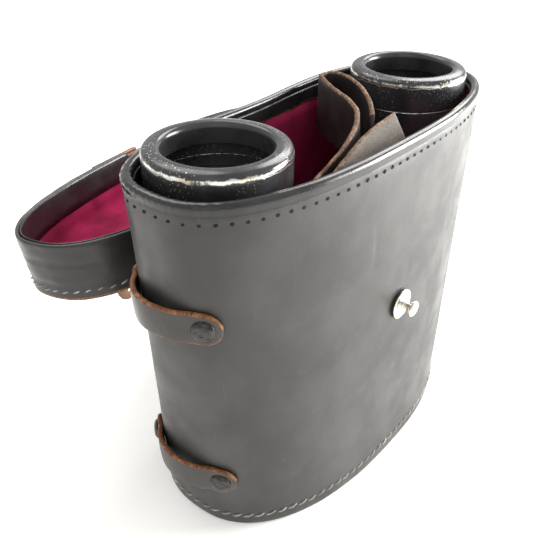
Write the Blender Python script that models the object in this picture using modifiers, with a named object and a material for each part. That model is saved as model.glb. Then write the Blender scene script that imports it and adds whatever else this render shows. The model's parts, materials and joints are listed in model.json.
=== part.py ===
"""Prism binoculars standing, objectives up, in a stiff leather case whose lid is open.

Metres, +Z up. The origin is the middle of the underside of the case. X runs along the
case, with its near end at -X. The front with the closing stud faces -Y, and the lid
hangs behind the case at +Y. The two halves of the binoculars mirror each other in X.
"""

import math

import bmesh
import bpy
from mathutils import Matrix, Vector

GAP = 0.0003  # air kept between pieces that touch

# Leather case: an oval tube, long and slim at the mouth, shorter and wider at the foot
CASE_HEIGHT = 0.1734
MOUTH_LENGTH, MOUTH_WIDTH, MOUTH_POWER = 0.1053, 0.0432, 2.6  # half sizes, squareness
FOOT_LENGTH, FOOT_WIDTH, FOOT_POWER = 0.0930, 0.0512, 2.4
MOUTH_SHIFT = -0.0007  # the mouth leans forward of the foot
MOUTH_SAG, BACK_SAG = 0.17, 0.20  # how far the back is pressed in, at and below the mouth
MOUTH_REACH, BACK_REACH, SAG_X = 0.050, 0.070, -0.015
LEATHER = 0.0026
OVAL_POINTS = 48
LEVELS = (0, 0.25, 0.50, 0.71, 0.85, 1)  # where the wall bends, as shares of its height

# Case fittings
BASE_PLATE, BASE_FLANGE_HEIGHT, BASE_FLANGE = 0.0040, 0.0120, 0.0013
VELVET = 0.0010
BAND_DEPTH, BAND = 0.0110, 0.0012
LOOP_HEIGHTS = {"upper": 0.1212, "lower": 0.0330}
LOOP_WIDTH, LOOP_LEATHER, LOOP_BULGE = 0.0150, 0.0022, 0.0065
LOOP_END = 0.0070  # from a rivet to the end of its loop
RIVET_FRONT, RIVET_BACK = 0.0190, -0.0262  # along the wall from the middle of its end
RIVET_HEAD, RIVET_DOME, RIVET_SHANK = 0.00485, 0.0019, 0.0015
STUD_HEIGHT = 0.0935
STUD_HEAD, STUD_NECK, STUD_LENGTH, WASHER = 0.0040, 0.0016, 0.0085, 0.0075

# Lid, measured as it sits when it is closed, edge to edge on the mouth
LID_LENGTH, LID_WIDTH, LID_POWER, LID_SHIFT = 0.1053, 0.0422, 2.5, -0.0015
LID_EDGE_HEIGHT, LID_HEIGHT, LID_TAPER = CASE_HEIGHT + 0.0004, 0.0278, 0.0021
LID_LEATHER, LID_BAND, LID_PLATE, LID_BAND_DEPTH = 0.0020, 0.0009, 0.0024, 0.0140
HINGE_HEIGHT, HINGE_OUT, HINGE_SKEW = 0.1544, 0.0036, math.radians(5.5)
LID_OPEN_ANGLE = math.radians(187)
TEAR_START, TEAR_END, TEAR_DEPTH = 0.0010, 0.0260, 0.0075  # torn out of its front edge
HINGE_STRIP_WIDTH, HINGE_STRIP, HINGE_LEG = 0.052, 0.0009, 0.0090
HINGE_SEAM_LOW, HINGE_SEAM_HIGH = 0.1330, 0.1470  # where it lies on the case

# Closing tongue, which swings over the front and buttons onto the stud
TONGUE_WIDTH, TONGUE_LEATHER, TONGUE_TIP_WIDTH = 0.036, 0.0022, 0.021
TONGUE_LENGTH, TONGUE_HINGE_HEIGHT = 0.0965, 0.1768
TONGUE_ROOT_WIDTH, TONGUE_ROOT_TOP = 0.050, 0.1950
TONGUE_SLIT_LENGTH, TONGUE_SLIT_WIDTH = 0.0180, 0.0052
TONGUE_OFFSET = TONGUE_LEATHER / 2 + 0.0003  # from its middle to its hinge line
TONGUE_FOLD = math.radians(173)  # from straight down the closed case

# Binoculars
OBJECTIVE_SPACING, EYE_SPACING = 0.137, 0.065
RING_RADIUS, RING_OPENING, RING_DEPTH = 0.0285, 0.0208, 0.0152
RING_TOP = 0.1806
TUBE_WALL = 0.0020
NECK_RADIUS, NECK_TAPER = 0.0235, 0.0080
PORT_RADIUS, TUBE_FLOOR = 0.0130, 0.0024  # the way from the tube into the housing
LENS_RADIUS, LENS_HEIGHT, LENS_SEAT = 0.0252, 0.1560, 0.0060
RETAINER_DEPTH, RETAINER_WIDTH = 0.0055, 0.0030
HOUSING_TOP, HOUSING_FLOOR = 0.1060, 0.0500
HOUSING_LENGTH, HOUSING_WIDTH, HOUSING_POWER, HOUSING_Y = 0.0365, 0.0308, 2.5, -0.0018
HOUSING_WALL, HOUSING_ROOF = 0.0022, 0.0024
COVER_PLATE = 0.0022
SHELF = 0.0030
PRISM_APERTURE, PRISM_CLIP = 0.0198, 0.0030
SLEEVE_RADIUS, SLEEVE_FLOOR = 0.0160, 0.0280
OCULAR_RADIUS, OCULAR_FLOOR, FLANGE_TOP, FLANGE_RADIUS = 0.0138, 0.0110, 0.0215, 0.0152
EYECUP_RADIUS, EYECUP_FLOOR, EYECUP_TOP = 0.0175, 0.0064, 0.0140
OCULAR_TOP, OCULAR_WALL, SLEEVE_COLLAR = 0.0460, 0.0016, 0.0040
EYE_LENS_RADIUS, EYE_LENS_TOP, EYE_LENS_FLOOR, EYE_CELL = 0.0095, 0.0170, 0.0112, 0.0024
SHAFT_RADIUS, SPINDLE_RADIUS, SPINDLE_FLOOR = 0.0050, 0.0030, 0.0100
WHEEL_RADIUS, WHEEL_FLOOR, WHEEL_TOP = 0.0120, 0.0330, 0.0450
ARM_RADIUS, ARM_THICKNESS, ARM_SPACING, ARM_RISE = 0.0085, 0.0070, 0.0260, 0.0060
BRIDGE_THICKNESS, BRIDGE_FLOOR, BRIDGE_HALF, BRIDGE_BOSS = 0.0030, 0.0148, 0.0050, 0.0075
STRAP_WIDTH, STRAP_LEATHER = 0.0260, 0.0022

ROUND, SMALL_ROUND = 24, 16

OBJECTIVE_X = OBJECTIVE_SPACING / 2
EYE_X = EYE_SPACING / 2
MIDDLE_X = (OBJECTIVE_X + EYE_X) / 2
SHELF_HEIGHT = (HOUSING_TOP + HOUSING_FLOOR) / 2
SIDES = {"left": -1, "right": 1}
FULL_TURN = 2 * math.pi


# ---------------------------------------------------------------- scene and materials

def clear_scene():
    for item in list(bpy.data.objects):
        bpy.data.objects.remove(item, do_unlink=True)


def new_collection(name):
    collection = bpy.data.collections.new(name)
    bpy.context.scene.collection.children.link(collection)
    return collection


def finish(name, colour, roughness, metallic=0.0):
    material = bpy.data.materials.new(name)
    material.use_nodes = True
    shader = material.node_tree.nodes["Principled BSDF"]
    shader.inputs["Base Color"].default_value = (*colour, 1)
    shader.inputs["Roughness"].default_value = roughness
    shader.inputs["Metallic"].default_value = metallic
    return material


clear_scene()
parts = new_collection("binoculars_in_case")
cutters = new_collection("cutters")

case_leather = finish("case_leather", (0.030, 0.030, 0.032), 0.42)
brown_leather = finish("brown_leather", (0.190, 0.075, 0.030), 0.55)
velvet = finish("crimson_velvet", (0.270, 0.010, 0.045), 0.95)
black_paint = finish("black_paint", (0.012, 0.012, 0.014), 0.30)
rubber = finish("hard_rubber", (0.010, 0.010, 0.010), 0.50)
nickel = finish("nickel", (0.720, 0.690, 0.620), 0.28, 1.0)
brass = finish("brass", (0.560, 0.400, 0.170), 0.35, 1.0)
rivet_steel = finish("rivet_steel", (0.060, 0.055, 0.050), 0.40, 0.8)
glass = finish("glass", (0.750, 0.800, 0.820), 0.05)


# ---------------------------------------------------------------- shape helpers

def add_object(name, mesh, material, collection=parts):
    item = bpy.data.objects.new(name, mesh)
    collection.objects.link(item)
    if material:
        mesh.materials.append(material)
    if collection is cutters:
        item.hide_render = True
        item.display_type = "WIRE"
    return item


def smooth(item, angle=35):
    item.data.shade_smooth()
    item.data.set_sharp_from_angle(angle=math.radians(angle))
    return item


def turned(name, profile, centre, material, steps=ROUND, closed=True, collection=parts):
    """A profile of (radius, height) points turned round a vertical axis at centre.
    An open profile starts and ends on the axis, and runs top to bottom outside."""
    shape = bmesh.new()
    corners = [shape.verts.new((radius, 0, height)) for radius, height in profile]
    for first, second in zip(corners, corners[1:]):
        shape.edges.new((first, second))
    if closed:
        shape.edges.new((corners[-1], corners[0]))
    mesh = bpy.data.meshes.new(name)
    shape.to_mesh(mesh)
    shape.free()
    item = add_object(name, mesh, material, collection)
    item.location = centre
    screw = item.modifiers.new("turn", "SCREW")
    screw.steps = screw.render_steps = steps
    screw.use_merge_vertices = True
    screw.merge_threshold = 0.00001
    screw.use_smooth_shade = True
    return item


def lofted(name, loops, material, ring=False, collection=parts):
    """A skin through point loops of one size. A ring closes back onto its first loop,
    and any other loft is capped at both ends."""
    shape = bmesh.new()
    rows = [[shape.verts.new(point) for point in loop] for loop in loops]
    if ring:
        rows.append(rows[0])
    for low, high in zip(rows, rows[1:]):
        for here in range(len(low)):
            after = (here + 1) % len(low)
            shape.faces.new((low[here], low[after], high[after], high[here]))
    if not ring:
        shape.faces.new(rows[0])
        shape.faces.new(rows[-1])
    bmesh.ops.recalc_face_normals(shape, faces=shape.faces)
    mesh = bpy.data.meshes.new(name)
    shape.to_mesh(mesh)
    shape.free()
    return smooth(add_object(name, mesh, material, collection))


def ribbon(name, rows, thickness, material):
    """A strip of leather whose middle surface runs through rows of points, made solid
    with an even thickness."""
    shape = bmesh.new()
    rows = [[shape.verts.new(point) for point in row] for row in rows]
    for low, high in zip(rows, rows[1:]):
        for here in range(len(low) - 1):
            shape.faces.new((low[here], low[here + 1], high[here + 1], high[here]))
    mesh = bpy.data.meshes.new(name)
    shape.to_mesh(mesh)
    shape.free()
    item = add_object(name, mesh, material)
    solid = item.modifiers.new("leather", "SOLIDIFY")
    solid.thickness = thickness
    solid.offset = 0
    solid.use_even_offset = True
    return item


def plate(name, outline, low, high, material, collection=parts):
    """A flat plate with a plan outline between two heights."""
    loops = [[(x, y, height) for x, y in outline] for height in (low, high)]
    return lofted(name, loops, material, collection=collection)


def disc(name, centre, radius, low, high, collection, steps=ROUND):
    """A plain vertical cylinder, as a cutter or as stock to join."""
    outline = [
        (centre[0] + radius * math.cos(FULL_TURN * step / steps),
         centre[1] + radius * math.sin(FULL_TURN * step / steps))
        for step in range(steps)
    ]
    return plate(name, outline, low, high, None, collection)


def combine(item, other, operation):
    change = item.modifiers.new(other.name, "BOOLEAN")
    change.operation = operation
    change.solver = "EXACT"
    change.object = other


# ---------------------------------------------------------------- ovals

def mix(low, high, share):
    return low + (high - low) * share


def signed_power(value, power):
    return math.copysign(abs(value) ** power, value)


def oval(half_length, half_width, power, centre=(0.0, 0.0), count=OVAL_POINTS):
    """A superellipse: 2 is an ellipse, and more is squarer."""
    turns = [FULL_TURN * step / count for step in range(count)]
    return [
        (centre[0] + half_length * signed_power(math.cos(turn), 2 / power),
         centre[1] + half_width * signed_power(math.sin(turn), 2 / power))
        for turn in turns
    ]


def level_outline(up, inset, count):
    """The case's plan outline at one of its levels, moved in by inset."""
    below = min(1, (1 - up) / (1 - LEVELS[-2]))
    press = mix(MOUTH_SAG, BACK_SAG, below) * math.sin(math.pi / 2 * min(1, 1.5 * up))
    reach = mix(MOUTH_REACH, BACK_REACH, below)
    plain = oval(
        mix(FOOT_LENGTH, MOUTH_LENGTH, up) - inset,
        mix(FOOT_WIDTH, MOUTH_WIDTH, up) - inset,
        mix(FOOT_POWER, MOUTH_POWER, up),
        count=count,
    )
    points = []
    for x, y in plain:
        sag = press * math.exp(-(((x - SAG_X) / reach) ** 2)) if y > 0 else 0
        points.append((x, y * (1 - sag) + MOUTH_SHIFT * up))
    return points


def case_outline(height, inset=0.0, count=OVAL_POINTS):
    """The outline at any height, on straight lines between the levels."""
    share = height / CASE_HEIGHT
    low = max(level for level in LEVELS[:-1] if level <= share)
    high = min(level for level in LEVELS if level > low)
    rise = (share - low) / (high - low)
    pairs = zip(level_outline(low, inset, count), level_outline(high, inset, count))
    return [(mix(x0, x1, rise), mix(y0, y1, rise)) for (x0, y0), (x1, y1) in pairs]


def case_loop(height, inset=0.0, at=None):
    return [(x, y, height if at is None else at) for x, y in case_outline(height, inset)]


def on_wall(height, start, travel, offset):
    """A point outside the case wall, travel metres along the wall at a height from
    the outline's point nearest the direction start, and offset from the surface."""
    fine = [Vector(point) for point in case_outline(height, count=OVAL_POINTS * 8)]
    count = len(fine)
    index = round(start / FULL_TURN * count) % count
    step = 1 if travel > 0 else -1
    left = abs(travel)
    while True:
        here, after = fine[index % count], fine[(index + step) % count]
        length = (after - here).length
        if left <= length:
            break
        left -= length
        index += step
    spot = here.lerp(after, left / length)
    along = (after - here).normalized() * step
    outward = Vector((along.y, -along.x))
    return spot + outward * offset, outward


def tapered_shell(name, outer, inner, low, high, material):
    """A tube wall between two insets of the case outline."""
    bends = [share * CASE_HEIGHT for share in LEVELS]
    heights = [low, *(bend for bend in bends if low < bend < high), high]
    loops = [case_loop(height, outer) for height in heights]
    loops += [case_loop(height, inner) for height in reversed(heights)]
    return lofted(name, loops, material, ring=True)


# ---------------------------------------------------------------- leather case

def build_case():
    wall = tapered_shell("case_wall", 0, LEATHER, 0, CASE_HEIGHT, case_leather)
    flange = LEATHER + GAP
    lofted("case_base", [
        case_loop(0, flange),
        case_loop(BASE_FLANGE_HEIGHT, flange),
        case_loop(BASE_FLANGE_HEIGHT, flange + BASE_FLANGE),
        case_loop(BASE_PLATE, flange + BASE_FLANGE),
    ], case_leather)
    band_floor = CASE_HEIGHT - BAND_DEPTH
    tapered_shell("mouth_band", flange, flange + BAND, band_floor, CASE_HEIGHT,
                  case_leather)
    tapered_shell("wall_lining", flange + GAP, flange + GAP + VELVET,
                  BASE_FLANGE_HEIGHT + GAP, band_floor - GAP, velvet)
    low, inset = BASE_PLATE + GAP, flange + BASE_FLANGE + GAP
    lofted("base_lining", [case_loop(low, inset), case_loop(low, inset, low + VELVET)],
           velvet)
    return wall


def loop_path(height, end, count=23):
    """The middle line of a strap loop: flat on the wall at both ends, where the
    rivets are, and bowed out between them to let the strap through."""
    start, front = (math.pi, 1) if end < 0 else (0, -1)
    lie = GAP + LOOP_LEATHER / 2
    middle, free = (RIVET_FRONT + RIVET_BACK) / 2, (RIVET_FRONT - RIVET_BACK) / 2 - RIVET_HEAD
    points = []
    for step in range(count):
        travel = mix(RIVET_BACK - LOOP_END, RIVET_FRONT + LOOP_END, step / (count - 1))
        share = max(0.0, 1 - abs(travel - middle) / free)
        bulge = LOOP_BULGE * (3 * share ** 2 - 2 * share ** 3) ** 0.5
        spot, _ = on_wall(height, start, travel * front, lie + bulge)
        points.append(spot)
    return points


def rivet(name, height, end, travel):
    """A domed rivet through a loop and the wall, and the hole that it fills."""
    start = math.pi if end < 0 else 0
    spot, outward = on_wall(height, start, travel, 0)
    face = LOOP_LEATHER + 2 * GAP + 0.0004
    head = [
        (0, face + RIVET_DOME), (RIVET_HEAD * 0.55, face + RIVET_DOME * 0.85),
        (RIVET_HEAD * 0.9, face + RIVET_DOME * 0.4), (RIVET_HEAD, face),
        (RIVET_SHANK, face), (RIVET_SHANK, GAP - LEATHER), (0, GAP - LEATHER),
    ]
    item = turned(name, head, (0, 0, 0), rivet_steel, 12, closed=False)
    hole = disc(name + "_hole", (0, 0), RIVET_SHANK + GAP, -0.0045, 0.0045, cutters, 12)
    lean = Vector((outward.x, outward.y, 0)).to_track_quat("Z", "Y")
    for piece in (item, hole):
        piece.rotation_mode = "QUATERNION"
        piece.rotation_quaternion = lean
        piece.location = (spot.x, spot.y, height)
    return hole


def build_loops(wall):
    for end_name, end in (("near", -1), ("far", 1)):
        for level, height in LOOP_HEIGHTS.items():
            name = f"{end_name}_{level}_loop"
            low, high = height - LOOP_WIDTH / 2, height + LOOP_WIDTH / 2
            lower = [(p.x, p.y, low) for p in loop_path(low, end)]
            upper = [(p.x, p.y, high) for p in loop_path(high, end)]
            strap = ribbon(name, (lower, upper), LOOP_LEATHER, brown_leather)
            for face, travel in (("front", RIVET_FRONT), ("back", RIVET_BACK)):
                travel = travel if end < 0 else -travel
                hole = rivet(f"{end_name}_{level}_{face}_rivet", height, end, travel)
                combine(wall, hole, "DIFFERENCE")
                combine(strap, hole, "DIFFERENCE")


def build_stud(wall):
    """The closing stud: a post with a button head, riveted through a wide washer."""
    spot, outward = on_wall(STUD_HEIGHT, 1.5 * math.pi, 1e-6, 0)
    washer_top = GAP + 0.0008 + 0.0012
    post = [
        (0, STUD_LENGTH), (STUD_HEAD * 0.8, STUD_LENGTH - 0.0001),
        (STUD_HEAD, STUD_LENGTH - 0.0008), (STUD_HEAD * 0.95, STUD_LENGTH - 0.0016),
        (STUD_NECK, STUD_LENGTH - 0.0020), (STUD_NECK, GAP - LEATHER),
        (0, GAP - LEATHER),
    ]
    washer = [
        (WASHER * 0.85, washer_top), (WASHER, washer_top - 0.0006),
        (WASHER, washer_top - 0.0010), (STUD_NECK + GAP, washer_top - 0.0010),
        (STUD_NECK + GAP, washer_top),
    ]
    pieces = [
        turned("closure_stud", post, (0, 0, 0), nickel, SMALL_ROUND, closed=False),
        turned("stud_washer", washer, (0, 0, 0), nickel, ROUND),
        disc("stud_hole", (0, 0), STUD_NECK + GAP, -0.0045, 0.0045, cutters, SMALL_ROUND),
    ]
    for piece in pieces:
        piece.rotation_euler = (math.pi / 2, 0, 0)
        piece.location = (spot.x, spot.y, STUD_HEIGHT)
    combine(wall, pieces[-1], "DIFFERENCE")


# ---------------------------------------------------------------- lid and tongue

def lid_loop(height, inset=0.0, at=None):
    """The closed lid's outline at a height, moved in by inset."""
    up = (height - LID_EDGE_HEIGHT) / LID_HEIGHT
    outline = oval(LID_LENGTH - LID_TAPER * up - inset, LID_WIDTH - LID_TAPER * up - inset,
                   LID_POWER, (0, LID_SHIFT))
    return [(x, y, height if at is None else at) for x, y in outline]


def lid_pivot():
    """The hinge line behind the case, and the lid's swing from closed to open."""
    pivot = bpy.data.objects.new("lid_pivot", None)
    parts.objects.link(pivot)
    pivot.location = (0, hinge_line_y(0), HINGE_HEIGHT)
    axis = Vector((math.cos(HINGE_SKEW), math.sin(HINGE_SKEW), 0))
    pivot.rotation_mode = "QUATERNION"
    pivot.rotation_quaternion = Matrix.Rotation(-LID_OPEN_ANGLE, 3, axis).to_quaternion()
    return pivot


def hang_on(pivot, *pieces):
    """Parents pieces modelled in the closed place, so that the pivot swings them."""
    closed_place = Matrix.Translation(pivot.location)
    for piece in pieces:
        piece.parent = pivot
        piece.matrix_parent_inverse = closed_place.inverted()


def build_lid():
    edge, top = LID_EDGE_HEIGHT, LID_EDGE_HEIGHT + LID_HEIGHT
    plate_floor = top - LID_PLATE
    wall = lofted("lid_wall", [
        lid_loop(edge), lid_loop(top), lid_loop(top, LID_LEATHER), lid_loop(edge, LID_LEATHER),
    ], case_leather, ring=True)
    inset = LID_LEATHER + GAP
    cap = lofted("lid_top", [lid_loop(plate_floor, inset), lid_loop(top, inset)],
                 case_leather)
    band_top = edge + LID_BAND_DEPTH
    band = lofted("lid_band", [
        lid_loop(edge, inset), lid_loop(band_top, inset),
        lid_loop(band_top, inset + LID_BAND), lid_loop(edge, inset + LID_BAND),
    ], case_leather, ring=True)
    tear = lofted("lid_tear", [
        [(TEAR_START, y, edge - 0.001), (TEAR_END, y, edge - 0.001),
         (TEAR_END - 0.002, y, edge + TEAR_DEPTH), (TEAR_START + 0.004, y, edge + TEAR_DEPTH)]
        for y in (LID_SHIFT - LID_WIDTH - 0.001, LID_SHIFT - LID_WIDTH + 0.009)
    ], None, collection=cutters)
    combine(wall, tear, "DIFFERENCE")
    combine(band, tear, "DIFFERENCE")
    ceiling = plate_floor - GAP
    lining = lofted("lid_lining", [
        lid_loop(ceiling, inset), lid_loop(band_top + GAP, inset),
        lid_loop(band_top + GAP, inset + VELVET), lid_loop(ceiling - VELVET, inset + VELVET),
    ], velvet)
    return wall, cap, band, lining, tear


def hinge_line_y(x):
    return LID_WIDTH + LID_SHIFT + HINGE_OUT + x * math.tan(HINGE_SKEW)


def build_hinge_strips():
    """The leather hinge, in two legs that meet at the hinge line. One is sewn to the
    back of the case and the other to the back of the lid."""
    half, count = HINGE_STRIP_WIDTH / 2, 13
    across = [mix(-half, half, step / (count - 1)) for step in range(count)]
    lie = GAP + 0.0001 + HINGE_STRIP / 2
    fold = HINGE_HEIGHT
    case_rows = [
        [(x, back_of(case_loop(height), x) + lie, height) for x in across]
        for height in (HINGE_SEAM_LOW, HINGE_SEAM_HIGH)
    ]
    case_rows.append([(x, hinge_line_y(x) - 0.0020, fold - 0.0014) for x in across])
    ribbon("case_hinge_strip", case_rows, HINGE_STRIP, brown_leather)
    edge = LID_EDGE_HEIGHT
    lid_rows = [
        [(x, hinge_line_y(x) - 0.0004, fold + 0.0010) for x in across],
        [(x, back_of(lid_loop(edge), x) + lie, edge - 0.0015) for x in across],
        [(x, back_of(lid_loop(edge), x) + lie, edge + HINGE_LEG) for x in across],
    ]
    return ribbon("lid_hinge_strip", lid_rows, HINGE_STRIP, brown_leather)


def back_of(loop, x):
    """The y of a loop's back side at x."""
    back = sorted((px, py) for px, py, _ in loop if py > 0)
    for (x0, y0), (x1, y1) in zip(back, back[1:]):
        if x0 <= x <= x1:
            return mix(y0, y1, (x - x0) / (x1 - x0))
    return back[0][1]


def tongue_plane():
    """The y of the tongue root's middle surface, on the front of the closed lid."""
    return LID_SHIFT - LID_WIDTH - 4 * GAP - TONGUE_LEATHER / 2


def build_tongue_root():
    """The end of the tongue that is sewn to the front of the lid."""
    half, count = TONGUE_ROOT_WIDTH / 2, 7
    y = tongue_plane()
    across = [mix(-half, half, step / (count - 1)) for step in range(count)]
    rows = [[(x, y, height) for x in across]
            for height in (TONGUE_HINGE_HEIGHT + 0.0010, TONGUE_ROOT_TOP)]
    return ribbon("tongue_root", rows, TONGUE_LEATHER, brown_leather)


def build_tongue():
    """The closing tongue, flat, with its hinge end at y = 0 and its tip at -Y. It lies
    to one side of its hinge line, so that it can fold back over its root."""
    half, tip = TONGUE_WIDTH / 2, TONGUE_TIP_WIDTH / 2
    shoulder = TONGUE_LENGTH * 0.62
    outline = [(-half, 0), (-half, -shoulder)]
    for step in range(9):
        turn = math.pi * step / 8
        outline.append((-tip * math.cos(turn),
                        -(TONGUE_LENGTH - tip) - tip * math.sin(turn)))
    outline += [(half, -shoulder), (half, 0)]
    strap = plate("closing_tongue", outline, -TONGUE_OFFSET - TONGUE_LEATHER / 2,
                  -TONGUE_OFFSET + TONGUE_LEATHER / 2, brown_leather)
    stud_drop = TONGUE_HINGE_HEIGHT - STUD_HEIGHT
    slit = plate("tongue_slit", oval(TONGUE_SLIT_WIDTH / 2, TONGUE_SLIT_LENGTH / 2, 2.5,
                                     (0, -stud_drop), 16), -0.005, 0.005, None, cutters)
    combine(strap, slit, "DIFFERENCE")
    return strap, slit


# ---------------------------------------------------------------- binoculars

def build_objective(side, way):
    centre = (way * OBJECTIVE_X, 0, 0)
    floor = RING_TOP - RING_DEPTH
    ring = [
        (RING_OPENING + 0.0012, RING_TOP - 0.0002), (RING_RADIUS - 0.0026, RING_TOP),
        (RING_RADIUS - 0.0006, RING_TOP - 0.0009), (RING_RADIUS, RING_TOP - 0.0030),
        (RING_RADIUS, floor), (RING_RADIUS - 0.0030, floor),
        (RING_RADIUS - 0.0030, floor + 0.0045), (RING_OPENING + 0.0006, floor + 0.0060),
        (RING_OPENING, RING_TOP - 0.0022),
    ]
    turned(f"{side}_objective_ring", ring, centre, black_paint)
    tube_top, shoulder = floor - GAP, HOUSING_TOP + NECK_TAPER
    tube = [
        (RING_RADIUS - 0.0003, tube_top), (RING_RADIUS - 0.0004, LENS_HEIGHT - 0.0050),
        (NECK_RADIUS + 0.0004, shoulder), (NECK_RADIUS, HOUSING_TOP + GAP),
        (PORT_RADIUS, HOUSING_TOP + GAP), (PORT_RADIUS, HOUSING_TOP + GAP + TUBE_FLOOR),
        (NECK_RADIUS - TUBE_WALL, HOUSING_TOP + GAP + TUBE_FLOOR),
        (NECK_RADIUS - TUBE_WALL, shoulder),
        (RING_RADIUS - 2 * TUBE_WALL, LENS_HEIGHT - LENS_SEAT),
        (RING_RADIUS - TUBE_WALL, LENS_HEIGHT - LENS_SEAT),
        (RING_RADIUS - TUBE_WALL, tube_top),
    ]
    turned(f"{side}_objective_tube", tube, centre, black_paint)
    lens_low = LENS_HEIGHT - LENS_SEAT + GAP
    lens = [
        (0, LENS_HEIGHT + 0.0008), (LENS_RADIUS * 0.5, LENS_HEIGHT + 0.0001),
        (LENS_RADIUS, LENS_HEIGHT - 0.0024), (LENS_RADIUS, lens_low), (0, lens_low),
    ]
    turned(f"{side}_objective_lens", lens, centre, glass, closed=False)
    cell_low = LENS_HEIGHT - 0.0018
    cell = [
        (LENS_RADIUS - RETAINER_WIDTH, cell_low + RETAINER_DEPTH),
        (LENS_RADIUS + 0.0004, cell_low + RETAINER_DEPTH),
        (LENS_RADIUS + 0.0004, cell_low), (LENS_RADIUS - 0.0012, cell_low),
    ]
    turned(f"{side}_lens_retainer", cell, centre, brass)


def housing_outline(way, inset=0.0):
    return oval(HOUSING_LENGTH - inset, HOUSING_WIDTH - inset, HOUSING_POWER,
                (way * MIDDLE_X, HOUSING_Y), 28)


def hinge_arm(name, way, low):
    """A plate from the prism housing to the centre shaft, as stock to join."""
    reach = MIDDLE_X - HOUSING_LENGTH + 0.0060
    outline = [
        (way * ARM_RADIUS * math.sin(math.pi * step / 8),
         ARM_RADIUS * math.cos(math.pi * step / 8))
        for step in range(9)
    ]
    outline = [(-x, y) for x, y in outline]
    outline += [(way * reach, -ARM_RADIUS), (way * reach, ARM_RADIUS)]
    return plate(name, outline, low, low + ARM_THICKNESS, None, cutters)


def build_housing(side, way):
    """A prism housing: an open-bottomed box with its hinge arms, closed by a cover."""
    def loop(height, inset=0.0):
        return [(x, y, height) for x, y in housing_outline(way, inset)]

    roof = HOUSING_TOP - HOUSING_ROOF
    housing = lofted(f"{side}_prism_housing", [
        loop(HOUSING_FLOOR, HOUSING_WALL), loop(HOUSING_FLOOR), loop(HOUSING_TOP - 0.0030),
        loop(HOUSING_TOP, 0.0028),
    ], black_paint)
    hollow = lofted(f"{side}_hollow", [
        loop(HOUSING_FLOOR - 0.001, HOUSING_WALL), loop(roof - 0.001, HOUSING_WALL),
        loop(roof, HOUSING_WALL + 0.001),
    ], None, collection=cutters)
    first_arm = HOUSING_FLOOR + ARM_RISE + (0 if way < 0 else ARM_THICKNESS + GAP)
    for number, low in enumerate((first_arm, first_arm + ARM_SPACING)):
        combine(housing, hinge_arm(f"{side}_arm_{number}", way, low), "UNION")
    combine(housing, hollow, "DIFFERENCE")
    combine(housing, disc(f"{side}_port", (way * OBJECTIVE_X, 0), PORT_RADIUS,
                          roof - 0.004, HOUSING_TOP + 0.004, cutters), "DIFFERENCE")
    combine(housing, disc(f"{side}_shaft_hole", (0, 0), SHAFT_RADIUS + GAP,
                          HOUSING_FLOOR, HOUSING_TOP, cutters, SMALL_ROUND), "DIFFERENCE")

    cover_low = HOUSING_FLOOR - GAP - COVER_PLATE
    cover = plate(f"{side}_cover_plate", housing_outline(way, 0.0006), cover_low,
                  HOUSING_FLOOR - GAP, black_paint)
    combine(cover, disc(f"{side}_eye_port", (way * EYE_X, 0), OCULAR_RADIUS + GAP,
                        cover_low - 0.002, HOUSING_FLOOR + 0.002, cutters), "DIFFERENCE")
    shelf = plate(f"{side}_prism_shelf", housing_outline(way, HOUSING_WALL + GAP),
                  SHELF_HEIGHT - SHELF / 2, SHELF_HEIGHT + SHELF / 2, brass)
    turn_x, turn_y = way * MIDDLE_X, EYE_X - MIDDLE_X
    for number, spot in enumerate((
        (way * OBJECTIVE_X, 0), (way * EYE_X, 0), (turn_x, turn_y),
    )):
        combine(shelf, disc(f"{side}_shelf_hole_{number}", spot, PRISM_APERTURE / 2 - 0.002,
                            SHELF_HEIGHT - SHELF, SHELF_HEIGHT + SHELF, cutters,
                            SMALL_ROUND), "DIFFERENCE")
    build_prism(f"{side}_lower_prism", (way * OBJECTIVE_X, 0), (turn_x, turn_y), -1)
    build_prism(f"{side}_upper_prism", (turn_x, turn_y), (way * EYE_X, 0), 1)


def build_prism(name, light_in, light_out, up):
    """A right-angled prism with its long face against the shelf, clipped at its three
    sharp edges, which folds the light from one axis across to the next."""
    first, second = Vector(light_in), Vector(light_out)
    middle, along = (first + second) / 2, (second - first).normalized()
    depth, clip = PRISM_APERTURE, PRISM_CLIP
    face = (second - first).length / 2 + PRISM_APERTURE / 2 - 0.0050
    tip = face - clip
    outline = [
        (-face, 0), (face, 0), (face, clip * 0.7), (clip, tip), (-clip, tip),
        (-face, clip * 0.7),
    ]
    body = bmesh.new()
    sides = []
    for shift in (-depth / 2, depth / 2):
        across = Vector((-along.y, along.x)) * shift
        row = []
        for run, rise in outline:
            spot = middle + along * run + across
            height = SHELF_HEIGHT + up * (SHELF / 2 + GAP + rise)
            row.append(body.verts.new((spot.x, spot.y, height)))
        sides.append(row)
    for here in range(len(outline)):
        after = (here + 1) % len(outline)
        body.faces.new((sides[0][here], sides[0][after], sides[1][after], sides[1][here]))
    body.faces.new(sides[0])
    body.faces.new(sides[1])
    bmesh.ops.recalc_face_normals(body, faces=body.faces)
    mesh = bpy.data.meshes.new(name)
    body.to_mesh(mesh)
    body.free()
    add_object(name, mesh, glass)


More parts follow.
